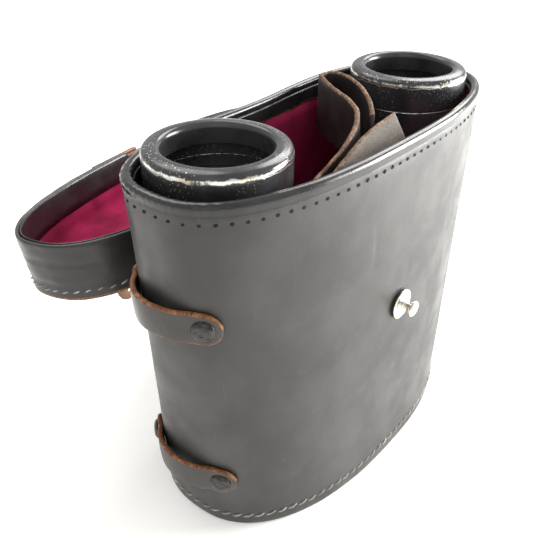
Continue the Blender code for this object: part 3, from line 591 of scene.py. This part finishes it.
def softened(profile, radius, closed):
    """A profile with its corners rounded."""
    corners = [Vector(point) for point in profile]
    points = []
    for index, corner in enumerate(corners):
        if not closed and index in (0, len(corners) - 1):
            points.append(corner)
            continue
        before = corners[index - 1] - corner
        after = corners[(index + 1) % len(corners)] - corner
        reach = min(radius, before.length * 0.45, after.length * 0.45)
        start = corner + before.normalized() * reach
        end = corner + after.normalized() * reach
        for t in (0, 0.25, 0.5, 0.75, 1):
            points.append(start.lerp(corner, t).lerp(corner.lerp(end, t), t))
    return points


def turned(profile, centre=(0, 0, 0), steps=96, closed=True, change=None):
    """A (radius, height) profile turned round a vertical axis through centre. change
    gives a point's radius from its radius, its height and its turn."""
    centre = Vector(centre)
    rows = []
    for radius, height in profile:
        row = []
        for step in range(steps):
            turn = FULL_TURN * step / steps
            out = change(radius, height, turn) if change else radius
            row.append(centre + Vector((out * math.cos(turn), out * math.sin(turn), height)))
        rows.append(row)
    return skin(rows, ring=closed)


def round_piece(name, profile, soft, material, stands_for, slot, move=None, closed=True,
                **turning):
    """A piece turned from a profile whose corners are rounded by the radius soft."""
    if soft:
        profile = softened(profile, soft, closed)
    piece(name, turned(profile, closed=closed, **turning), [material], stands_for, slot, move)


def on_both_sides(x, *parts):
    """Round pieces of the left and the right half, on axes that stand x from the middle."""
    for side, way in SIDES.items():
        for name, profile, soft, material, stands_for, slot, turning in parts:
            round_piece(f"{side}_{name}", profile, soft, material, f"{side}_{stands_for}", slot,
                        centre=(way * x, 0, 0), **turning)


def strip(stations, thickness, crown=0.0):
    """A leather strip along stations of (middle, across, out, half width). Finish 0 is the
    side that faces out, 1 the cut edges and 2 the other side."""
    radius, span = thickness * 0.42, 9
    rows = []
    for middle, across, out, half in stations:
        flat = max(half - radius, 0.00005)
        section = []
        for way, bow in ((1, crown), (-1, 0)):
            for share in (step / span for step in range(span + 1)):
                section.append((way * mix(-flat, flat, share),
                                way * thickness / 2 + bow * math.sin(math.pi * share)))
            for turn in (math.pi * step / 7 for step in range(1, 7)):
                section.append((way * (flat + radius * math.sin(turn)),
                                way * thickness / 2 * math.cos(turn)))
        rows.append([middle + across * u + out * w for u, w in section])

    def mark(_, here):
        return 0 if here < span else 1 if here < span + 7 else 2 if here < 2 * span + 7 else 1

    return skin(rows, mark, caps=True)


def spokes(first, second, count):
    """Directions all round a circle whose axes are first and second."""
    turns = (FULL_TURN * step / count for step in range(count))
    return [first * math.cos(turn) + second * math.sin(turn) for turn in turns]


def stitch(start, end, out, radius):
    """One short stitch that rises out of the leather and dips back into it."""
    rise = 0.0005
    across = (end - start).cross(out).normalized()
    rows = []
    for step in range(7):
        swell = math.sin(math.pi * step / 6)
        middle = start.lerp(end, step / 6) + out * (rise * swell - radius * 0.6)
        size = radius * (0.55 + 0.45 * swell)
        rows.append([middle + spoke * size for spoke in spokes(across, out, 6)])
    return skin(rows, caps=True)


def seam(outline_at, height, pitch, slant, radius, loose=1.0):
    """Slanted stitches all round an outline at a height, less even the looser they are."""
    outline = outline_at(round(height, 6), 0.0)
    points = evenly(outline, round(open_length(outline) / pitch) * 3)
    shapes = []
    for index in range(0, len(points), 3):
        here, after = points[index], points[(index + 2) % len(points)]
        ahead = (after - here).normalized()
        out = Vector((ahead.y, -ahead.x, 0))
        wander = loose * rough(here.x, here.y, height, 300)
        start = Vector((here.x, here.y, height - slant / 2 + wander * 0.0004))
        end_flat = here.lerp(after, 1.26)
        end = Vector((end_flat.x, end_flat.y, height + slant / 2 + wander * 0.0003))
        shapes.append(stitch(start, end, out, radius))
    return together(shapes)


# ---- case

def rows_round(outline_at, profile, base=0.0, change=None, lift=None):
    """Rows round an outline from (inset, height above base) pairs. change moves a point
    out and lift raises it, each by its x, its y and that height."""
    rows = []
    for inset, height in profile:
        outline = evenly(outline_at(round(base + height, 6), round(inset, 6)), WALL_POINTS)
        row = []
        for index, (x, y) in enumerate(outline):
            ahead = outline[(index + 1) % WALL_POINTS] - outline[index - 1]
            ahead.normalize()
            shift = change(x, y, height) if change else 0
            rise = lift(x, y, height) if lift else 0
            row.append((x + ahead.y * shift, y - ahead.x * shift, base + height + rise))
        rows.append(row)
    return rows


def case_rows(profile, change):
    return rows_round(case_outline, profile, change=change)


def lifted(row, change):
    """A row with each point raised by change(x, y)."""
    return [(x, y, z + change(x, y)) for x, y, z in row]


def wall_relief(x, y, z):
    """Gentle waves in the leather, a soft crease under the rim, puckers round the near
    end of the rim and a faint dip along the stitch holes."""
    wave = 0.00025 * rough(x, y, z, 28) + 0.0001 * rough(x, y, z, 90)
    crease = -0.00032 * math.exp(-(((z - 0.1688) / 0.0011) ** 2))
    pucker = ease(-x, 0.085, 0.1) * ease(z, 0.166, 0.1715)
    folds = 0.00028 * pucker * math.sin(y * 1900 + 2 * rough(x, y, z, 120))
    seam_dip = -0.00012 * math.exp(-(((z - CASE_HEIGHT + HOLE_DROP) / 0.0013) ** 2))
    return wave + crease + folds + seam_dip


def build_wall():
    """The leather wall and its rolled rim."""
    outside = millimetres((2.6, 0.6), (1.2, 0.1), (0.3, 0.8), (0, 2.2))
    heights = [mix(0.004, 0.16, step / 30) for step in range(31)]
    heights += [0.162, 0.164, 0.165, 0.1656, 0.1664, 0.1674, 0.1682, 0.1688, 0.1694, 0.1702]
    outside += [(0.0, height) for height in heights]
    roll = [
        (RIM / 2 - (RIM / 2 + 0.0001) * math.cos(turn), 0.1712 + 0.0022 * math.sin(turn))
        for turn in (math.pi * step / 10 for step in range(11))
    ]
    inside = [(RIM, 0.1706), (RIM - 0.0002, 0.1698)]
    inside += [(0.0031, height) for height in (0.169, 0.01, 0.0006)]
    rim_start = len(outside) - 4
    shape = skin(case_rows(outside + roll + inside, wall_relief),
                 lambda band, _: 1 if band >= rim_start else 0, ring=True)
    piece("case_shell", shape, [case_leather, rim_leather], "case_wall", "case_leather")


def build_band():
    """The leather band inside the mouth, with a ragged lower edge."""
    def relief(x, y, z):
        return -0.0001 - abs(0.00035 * rough(x, y, z, 60) + 0.00018 * rough(x, y, z * 0.4, 260))

    def ragged(x, y):
        return 0.0011 * rough(x, y, 0, 190) + 0.0006 * rough(x, y, 1, 700)

    back = 0.0032
    rows = case_rows([
        (RIM - 0.0001, 0.17), (RIM, 0.169), (RIM, 0.1675), (RIM - 0.0001, 0.166),
        (RIM, 0.1648), (RIM - 0.0001, BAND_FLOOR + 0.0012), (RIM - 0.0002, BAND_FLOOR + 0.0003),
        (RIM - 0.0009, BAND_FLOOR), (back, BAND_FLOOR + 0.001), (back, 0.169),
    ], relief)
    rows[4:9] = [lifted(row, ragged) for row in rows[4:9]]
    shape = skin(rows, lambda band, _: 1 if band in (5, 6, 7) else 0, ring=True)
    piece("mouth_band_leather", shape, [band_leather, tan_edge], "mouth_band", "case_leather")


def build_wall_lining():
    top, low, face, back = BAND_FLOOR + 0.0002, 0.0126, 0.0042, 0.0033
    profile = [(face, mix(top, low, step / 26)) for step in range(27)]
    profile += [(back, low), (back, top)]
    rows = case_rows(profile, lambda x, y, z: 0.0003 * rough(x, y, z, 45))
    piece("velvet_wall", skin(rows, ring=True), [velvet], "wall_lining", "crimson_velvet")


def build_stitching():
    """The empty holes under the rim, drawn as small near-black caps of painted shade, and the
    stitches along the foot.
    """
    height = CASE_HEIGHT - HOLE_DROP
    outline = case_outline(round(height, 6), 0.0)
    points = evenly(outline, round(open_length(outline) / HOLE_PITCH) * 8)
    up = Vector((0, 0, 1))
    holes = []
    for index in range(0, len(points), 8):
        here, after = points[index], points[(index + 1) % len(points)]
        ahead = Vector((*(after - here).normalized(), 0))
        out = Vector((ahead.y, -ahead.x, 0))
        wander = rough(here.x, here.y, 0, 400)
        middle = Vector((here.x, here.y, height + 0.0003 * wander)) - out * 0.00006
        lean = ahead * 0.9 + up * (0.25 + 0.3 * wander)
        size = 0.00066 + 0.0002 * wander
        around = spokes(lean.normalized() * 1.25, out.cross(lean).normalized(), 10)
        holes.append(skin([
            [middle + out * lift + spoke * size * reach for spoke in around]
            for reach, lift in ((1.0, -0.0001), (0.92, 0.00016), (0.55, 0.00014), (0, 0.00005))
        ]))
    piece("stitch_holes", together(holes), [hole_shade], "case_wall", "case_leather", hide=False)
    foot = seam(case_outline, STITCH_RISE, STITCH_PITCH, 0.0018, 0.00052)
    piece("base_stitches", foot, [pale_thread], "case_wall", "case_leather", hide=False)


def loop_stations(height, start, front):
    """Stations along a strap loop: flat on the wall at its round ends, and bowed out
    between its rivets. front is 1 or -1, the way along the wall to the case's front."""
    tail, tip = RIVET_BACK - LOOP_END, RIVET_FRONT + LOOP_END
    half_width, count = LOOP_WIDTH / 2, 60
    middle = (RIVET_FRONT + RIVET_BACK) / 2
    free = (RIVET_FRONT - RIVET_BACK) / 2 - RIVET_HEAD
    spots = []
    for step in range(count + 1):
        travel = mix(tail, tip, step / count)
        share = max(0.0, 1 - abs(travel - middle) / free)
        bulge = LOOP_BULGE * (3 * share ** 2 - 2 * share ** 3) ** 0.5
        lie = GAP + LOOP_LEATHER / 2 + bulge
        low, _ = on_wall(height - half_width, start, travel * front or 1e-6, lie)
        high, _ = on_wall(height + half_width, start, travel * front or 1e-6, lie)
        spots.append((low, high, travel))
    stations = []
    for index, (low, high, travel) in enumerate(spots):
        before, after = spots[max(0, index - 1)], spots[min(count, index + 1)]
        ahead = (after[0] + after[1] - before[0] - before[1]).normalized() * front
        across = (high - low).normalized()
        out = ahead.cross(across).normalized()
        left = min(travel - tail, tip - travel)
        half = half_width
        if left < half:
            half *= max(0.06, 1 - (1 - left / half) ** 2) ** 0.5
        wander = 0.0002 * rough(low.x, low.y, low.z, 200)
        stations.append(((low + high) / 2 + across * wander, across, out, half))
    return stations


def build_loops():
    for end_name, start, front in (("near", math.pi, 1), ("far", 0, -1)):
        for level, height in LOOP_HEIGHTS.items():
            name = f"{end_name}_{level}"
            piece(f"{name}_loop_leather",
                  strip(loop_stations(height, start, front), LOOP_LEATHER, 0.00025),
                  [loop_leather, loop_edge, strap_flesh_shaded], f"{name}_loop", "brown_leather")
            for face, travel in (("front", RIVET_FRONT), ("back", RIVET_BACK)):
                build_rivet(f"{name}_{face}_rivet", height, start, travel * front)


def build_rivet(name, height, start, travel):
    """A low domed head with a shallow dimple, and a shank through the wall."""
    face, shank, shank_end = LOOP_LEATHER + 0.0008, 0.0015, -0.0024
    head = [
        (0, face + 0.0014), (0.001, face + 0.00145), (0.0015, face + 0.0017),
        (0.003, face + 0.0015), (0.0042, face + 0.0009), (0.0047, face + 0.0003),
        (RIVET_HEAD, face - 0.0001), (0.0044, face - 0.0004), (shank, face - 0.0004),
        (shank, shank_end), (0, shank_end),
    ]
    round_piece(f"{name}_head", head, 0.0003, rivet_steel, name, "rivet_steel",
                out_of_wall(height, start, travel), closed=False, steps=40)


def build_stud():
    spot = out_of_wall(STUD_HEIGHT, 1.5 * math.pi, 1e-6)
    washer = millimetres((2, 2.3), (6, 2.2), (7.3, 1.8), (7.5, 1.3), (7, 1), (2, 1.1))
    round_piece("nickel_washer", washer, 0.0003, nickel, "stud_washer", "nickel", spot, steps=72)
    post = millimetres((0, 8.5), (2, 8.5), (3.4, 8.2), (4, 7.6), (3.9, 7), (3, 6.5), (1.7, 6),
                       (1.6, 3), (1.9, 2.4), (1.6, -2), (0, -2.3))
    round_piece("nickel_stud", post, 0.0003, nickel, "closure_stud", "nickel", spot,
                closed=False, steps=56)


# ---- lid

def torn(x, y, depth):
    """How far the lid's edge is torn back at a point of its outline."""
    if y > 0:
        return 0.0
    notch = ease(x, 0.0008, 0.0052) * (1 - ease(x, 0.0225, 0.0262))
    torn_back = 0.0088 + 0.0013 * rough(x, 0, 0, 420) - 0.0016 * ease(x, 0.006, 0.022)
    return notch * torn_back * max(0.0, 1 - depth / 0.02)


def lid_rows(profile, change=None, lift=torn):
    """Rows round the lid from (inset, depth from its edge) pairs."""
    return rows_round(lid_outline, profile, LID_EDGE, change, lift)


def lid_relief(x, y, depth):
    """Waves, a groove along the stitches and a wandering crease halfway down."""
    wave = 0.00042 * rough(x, y, depth, 30) + 0.00026 * rough(x, y, depth * 3, 110)
    sewn = -0.00045 * math.exp(-(((depth - 0.0205) / 0.001) ** 2))
    bend = 0.0098 + 0.0022 * rough(x, y, 0, 28)
    crease = -0.0004 * math.exp(-(((depth - bend) / 0.0007) ** 2))
    return wave + sewn + crease


def inward(row, share, height):
    """A row drawn towards the middle of the lid, at a height."""
    return [(mix(0.0, x, share), mix(LID_SHIFT, y, share), height) for x, y, _ in row]


def build_lid_wall():
    inside = millimetres((2.1, 25), (2.1, 12), (2.1, 2), (1.9, 0.5), (1.4, 0.1), (0.8, 0.1),
                         (0.2, 0.5), (0, 1.4))
    outside = [(0.0, mix(0.0024, 0.0252, step / 16)) for step in range(17)]
    cut_edge = millimetres((-0.2, 26.2), (0, 27.2), (0.5, 27.7), (1.4, 27.8), (2.1, 27.7))
    edge_start = len(inside + outside)
    shape = skin(lid_rows(inside + outside + cut_edge, lid_relief),
                 lambda band, _: 1 if band >= edge_start else 0, ring=True)
    piece("lid_shell", shape, [lid_leather, tan_edge], "lid_wall", "case_leather", OPEN_LID)


def build_lid_band():
    rows = lid_rows(millimetres(
        (3.2, 13.8), (3.3, 10), (3.2, 5), (3.3, 1.4), (3.1, 0.3), (2.7, 0), (2.3, 0.4), (2.2, 4),
        (2.2, 13.6),
    ), lambda x, y, depth: -0.00012 + 0.00012 * rough(x, y, depth, 80))
    rows[0] = lifted(rows[0], lambda x, y: 0.0008 * rough(x, y, 0, 150))
    piece("lid_inner_band", skin(rows, ring=True), [band_leather], "lid_band",
          "case_leather", OPEN_LID)


def build_lid_lining():
    """Velvet up the lid's wall and over its inside, as one tray."""
    side = lid_rows(millimetres(
        (2.4, 25), (2.3, 14.5), (3.3, 14.3), (3.5, 19), (4.1, 21.6), (5.5, 22.6), (6.8, 22.2),
        (8, 22.8), (9.5, 23.6),
    ), lambda x, y, depth: 0.0004 * rough(x, y, depth, 50), lift=None)
    back = LID_EDGE + LID_HEIGHT - 0.0028
    face = [side[-1]]
    face += [inward(side[-1], share, LID_EDGE + 0.0238) for share in (0.85, 0.6, 0.3, 0)]
    tray = [inward(side[0], 0.0, back), inward(side[0], 0.6, back), *side[:-1]]
    tray += [lifted(row, lambda x, y: 0.0005 * rough(x, y, 0, 40) - 0.0005) for row in face]
    piece("lid_velvet", skin(tray), [velvet], "lid_lining", "crimson_velvet", OPEN_LID)


def build_lid_plate():
    rim = lid_rows(millimetres((2.3, 25.6), (2.4, 27.2), (3.4, 27.8)), lift=None)
    face = [inward(rim[2], share, LID_EDGE + LID_HEIGHT)
            for share in (0.93, 0.8, 0.6, 0.35, 0.15, 0)]
    plate = [inward(rim[0], 0.0, LID_EDGE + 0.0256), *rim]
    plate += [lifted(row, lambda x, y: 0.0003 * rough(x, y, 0, 35) - 0.0002) for row in face]
    piece("lid_plate", skin(plate, lambda band, _: 1 if band in (1, 2) else 0),
          [lid_leather, tan_edge], "lid_top", "case_leather", OPEN_LID)


def build_lid_stitches():
    stitches = seam(lid_outline, LID_EDGE + LID_STITCH_DEPTH, LID_STITCH_PITCH, 0.0015,
                    0.00048, loose=2.2)
    piece("lid_stitches", stitches, [pale_thread], "lid_wall", "case_leather", OPEN_LID,
          hide=False)


def build_tongue_root():
    thick = 0.0022
    y = LID_SHIFT - LID[1] - 0.0012 - thick / 2
    across, out = Vector((1, 0, 0)), Vector((0, -1, 0))
    stations = [
        (Vector((0, y, mix(TONGUE_ROOT_LOW, TONGUE_ROOT_TOP, step / 16))), across, out,
         TONGUE_ROOT_WIDTH / 2)
        for step in range(17)
    ]
    piece("tongue_root_leather", strip(stations, thick), [brown_leather, tan_edge, strap_flesh_shaded],
          "tongue_root", "brown_leather", OPEN_LID)


# ---- binoculars

def build_objectives():
    """Each objective's ring, tube, lens and lens retainer."""
    inner, outer, top, rim = RING_OPENING, RING_RADIUS, RING_TOP, LENS_RADIUS
    floor, bore = top - RING_DEPTH, NECK_RADIUS - TUBE_WALL
    seat, cell_low = LENS_HEIGHT - 0.006, LENS_HEIGHT - 0.0018
    bead = [
        (inner + 0.0002, top - 0.0024), (inner + 0.0006, top - 0.0012),
        (inner + 0.0014, top - 0.0003), (inner + 0.0024, top), (inner + 0.004, top - 0.0001),
        (outer - 0.0016, top - 0.0006), (outer - 0.0005, top - 0.0014), (outer, top - 0.0028),
        (outer, floor + 0.0004), (outer - 0.0005, floor), (outer - 0.003, floor + 0.0001),
        (outer - 0.003, floor + 0.0045), (inner + 0.0006, floor + 0.006),
    ]
    tube = [
        (outer - 0.0003, floor - GAP), (outer - 0.0004, LENS_HEIGHT - 0.005),
        (NECK_RADIUS + 0.0004, NECK_TOP), (NECK_RADIUS, NECK_FOOT), (PORT_RADIUS, NECK_FOOT),
        (PORT_RADIUS, PORT_TOP), (bore, PORT_TOP), (bore, NECK_TOP),
        (outer - 2 * TUBE_WALL, seat), (outer - TUBE_WALL, seat), (outer - TUBE_WALL, floor - GAP),
    ]
    lens = [(rim * share, LENS_HEIGHT + 0.0008 - 0.0032 * share ** 2)
            for share in (0, 0.15, 0.3, 0.45, 0.6, 0.75, 0.9, 1.0)]
    lens += [(rim, LENS_HEIGHT - 0.0057), (0, LENS_HEIGHT - 0.0057)]
    cell = [
        (rim - 0.003, cell_low + 0.0055), (rim + 0.0004, cell_low + 0.0055),
        (rim + 0.0004, cell_low), (rim - 0.0012, cell_low), (rim - 0.0026, cell_low + 0.0022),
    ]
    on_both_sides(
        OBJECTIVE_X,
        ("ring", bead, 0.0005, ring_paint, "objective_ring", "black_paint", {"steps": 144}),
        ("tube", tube, 0.0004, tube_paint, "objective_tube", "black_paint", {"steps": 128}),
        ("lens", lens, 0, front_glass, "objective_lens", "glass", {"closed": False}),
        ("retainer", cell, 0.0003, retainer, "lens_retainer", "brass", {}))


def grooved(rim, low, high, depth, count):
    """A change that cuts count grooves into what lies outside the radius rim, between
    two heights."""
    def change(radius, height, turn):
        if radius > rim and low < height < high:
            return radius - depth * (0.5 + 0.5 * math.cos(count * turn))
        return radius
    return change


def build_eyepieces():
    """Each eyepiece's sleeve, ocular tube, eye lens and ribbed eyecup."""
    bore, inner = OCULAR_RADIUS + GAP, OCULAR_RADIUS - OCULAR_WALL
    collar = 0.0172
    sleeve = [(bore, SLEEVE_TOP), (collar, SLEEVE_TOP), (collar, SLEEVE_TOP - 0.004),
              (SLEEVE_RADIUS, SLEEVE_TOP - 0.004), (SLEEVE_RADIUS, SLEEVE_FLOOR),
              (bore, SLEEVE_FLOOR)]
    tube = [(inner, 0.046), (OCULAR_RADIUS, 0.046), (OCULAR_RADIUS, 0.0215), (0.0152, 0.0215),
            (0.0152, 0.0143), (0.0119, 0.0143), (0.0119, 0.011), (0.0098, 0.011),
            (0.0098, 0.019), (inner, 0.021)]
    glass = millimetres((0, 17), (5, 16.8), (9.5, 16), (9.5, 12.5), (7, 11.7), (3.5, 11.3),
                        (0, 11.2))
    cup = millimetres((12.2, 14), (15.5, 14), (17, 12.5), (17.5, 11), (17.5, 10.7), (17.5, 7.9),
                      (17.5, 7.6), (16.3, 6.4), (14.6, 6.4), (8.2, 9.4), (8.2, 10.7), (12.2, 10.7))
    ribs = grooved(0.0174, 0.0078, 0.0108, 0.00035, 36)
    on_both_sides(
        EYE_X,
        ("sleeve", sleeve, 0.0004, body_paint, "eyepiece_sleeve", "black_paint", {}),
        ("ocular", tube, 0.0003, body_paint, "ocular_tube", "black_paint", {}),
        ("eye_glass", glass, 0, front_glass, "eye_lens", "glass", {"steps": 72, "closed": False}),
        ("cup", cup, 0.0003, rubber, "eyecup", "hard_rubber", {"steps": 144, "change": ribs}))


def build_wheel():
    """The knurled focus wheel on its spindle."""
    profile = millimetres((0, 54.7), (3, 54.7), (3, 45), (11, 45), (12, 44), (12, 43.6),
                          (12, 34.4), (12, 34), (11, 33), (3, 33), (3, 10), (0, 10))
    round_piece("knurled_wheel", profile, 0.0004, body_paint, "focus_wheel", "black_paint",
                closed=False, steps=192, change=grooved(0.0119, 0.0341, 0.0439, 0.0003, 48))


STRAP_ROUTE = [  # x, y and height of the top edge in mm, and its lean to the front in degrees
    (16.5, -23.5, 174.7, 34), (9, -23.4, 173.8, 34), (1, -23.5, 172.7, 33),
    (-8.5, -24.4, 171.2, 30), (-19.5, -26.6, 169.6, 24), (-30.5, -29.3, 168, 19),
    (-37.5, -29.6, 165.5, 17), (-40.5, -26.6, 163, 15), (-38.5, -23.4, 162.5, 14),
    (-32.6, -21.8, 163, 13), (-25, -22.6, 167, 12), (-17.1, -21.6, 169.5, 11),
    (-7.1, -18.9, 172.5, 10), (-0.9, -16.3, 174.5, 8), (5.5, -12, 176.5, 5), (8.8, -7.6, 177.5, 2),
    (13.3, 0.3, 178.5, 0), (17.7, 9.7, 179, 0), (24.4, 19.1, 179, 0), (27.8, 23.7, 179, 0),
    (32, 26.5, 178.8, 0), (37, 25.5, 178.7, 0), (38.8, 20.5, 178.6, 0), (37, 12.7, 178.4, 0),
    (31, 3, 177.8, 0), (22.6, -6.8, 176.5, 2), (14, -14.2, 175.4, 5), (8.5, -18, 174.6, 8),
]


def build_neck_strap():
    """The strap stands on edge, folded between the tubes, and its square end leans on
    the front wall. Its edges are cut a little unevenly."""
    tiny = 0.00001  # so that the lean hardly counts as distance
    route = through([(x / 1000, y / 1000, top / 1000, lean * tiny)
                     for x, y, top, lean in STRAP_ROUTE], 220)
    edge = [point.xyz for point in route]
    stations = []
    for index, point in enumerate(edge):
        before, after = edge[max(0, index - 1)], edge[min(len(edge) - 1, index + 1)]
        slope = math.radians(route[index].w / tiny)
        across = Vector((0, math.sin(slope), math.cos(slope)))
        out = (after - before).cross(across).normalized()
        wander = 0.0003 * rough(point.x, point.y, 2.0, 160)
        middle = point - across * (STRAP_WIDTH / 2 - wander)
        stations.append((middle, across, out, STRAP_WIDTH / 2))
    piece("strap_leather", strip(stations, STRAP_LEATHER, 0.0002),
          [strap_flesh_shaded, strap_edge, strap_grain], "neck_strap", "brown_leather")


# ---- CAD nodes that stay

def dress(name, material, bevel):
    """A node that keeps its CAD shape, with its edges eased and a new material."""
    node = nodes[name]
    node.data.materials.clear()
    node.data.materials.append(material)
    weld = node.modifiers.new("join", "WELD")
    weld.merge_threshold = 0.00001
    if bevel:
        eased = node.modifiers.new("eased edges", "BEVEL")
        eased.width = bevel
        eased.segments = 2
        eased.limit_method = "ANGLE"
        eased.angle_limit = math.radians(40)
        eased.harden_normals = False


def dress_nodes():
    for name, material, bevel in (
        ("case_base", case_leather, 0.0004), ("base_lining", velvet, 0),
        ("case_hinge_strip", brown_leather, 0.0002), ("lid_hinge_strip", brown_leather, 0.0002),
        ("closing_tongue", brown_leather, 0.0004), ("hinge_shaft", body_paint, 0.0004),
    ):
        dress(name, material, bevel)
    for side in SIDES:
        for part, material, bevel in (
            ("prism_housing", body_paint, 0.0008), ("cover_plate", body_paint, 0.0005),
            ("bridge_arm", body_paint, 0.0005), ("prism_shelf", brass, 0.0004),
            ("lower_prism", prism_glass, 0.0004), ("upper_prism", prism_glass, 0.0004),
        ):
            dress(f"{side}_{part}", material, bevel)


# ---- floor, lights, camera

def build_floor():
    mesh = bpy.data.meshes.new("floor")
    work = bmesh.new()
    bmesh.ops.create_circle(work, cap_ends=True, segments=96, radius=9.0)
    work.to_mesh(mesh)
    work.free()
    mesh.materials.append(floor_card())
    floor = placed("floor", mesh)
    floor.location.z = -0.0002


def area_light(name, spot, size, power, colour):
    """A round light at a spot, aimed at the middle of the case."""
    data = bpy.data.lights.new(name, "AREA")
    data.shape = "DISK"
    data.size = size
    data.energy = power
    data.color = colour
    light = placed(name, data)
    light.location = spot
    light.rotation_mode = "QUATERNION"
    light.rotation_quaternion = (CASE_MIDDLE - Vector(spot)).to_track_quat("-Z", "Y")


def build_lights():
    area_light("window", (1.25, 0.2, 1.1), 1.0, 17, (1.0, 0.99, 0.97))
    area_light("overhead", (0.1, 0.85, 1.5), 1.2, 14, (1.0, 0.99, 0.98))
    area_light("low window", (0.9, -0.66, 0.34), 0.7, 30, (1.0, 1.0, 0.99))
    area_light("fill", (-1.1, -0.9, 0.9), 1.2, 1.5, (0.98, 0.99, 1.0))
    world = bpy.data.worlds.new("soft_white")
    world.use_nodes = True
    feed(world.node_tree, world.node_tree.nodes["Background"],
         {"Color": (1.0, 0.995, 0.985, 1), "Strength": 0.75})
    scene.world = world
    scene.view_settings.view_transform = "Standard"


def build_camera():
    """The camera of the photograph: where it stands, and how it is turned."""
    spot = (-0.2376, -0.1668, 0.2762)
    data = bpy.data.cameras.new("camera")
    data.lens, data.sensor_width = 44.63, 36.0
    data.clip_start = 0.01
    camera = placed("camera", data)
    heading, down, roll = math.radians(50.69), math.radians(32.97), math.radians(0.9)
    ahead = Vector((math.sin(heading) * math.cos(down), math.cos(heading) * math.cos(down),
                    -math.sin(down)))
    right = Vector((math.cos(heading), -math.sin(heading), 0))
    up = right.cross(ahead)
    right_rolled = right * math.cos(roll) + up * math.sin(roll)
    up_rolled = up * math.cos(roll) - right * math.sin(roll)
    turn = Matrix((right_rolled, up_rolled, -ahead)).transposed()
    camera.matrix_world = Matrix.Translation(spot) @ turn.to_4x4()
    scene.camera = camera


build_wall()
build_band()
build_wall_lining()
build_stitching()
build_loops()
build_stud()
build_lid_wall()
build_lid_band()
build_lid_lining()
build_lid_plate()
build_lid_stitches()
build_tongue_root()
build_objectives()
build_eyepieces()
build_wheel()
build_neck_strap()
dress_nodes()
build_floor()
build_lights()
build_camera()
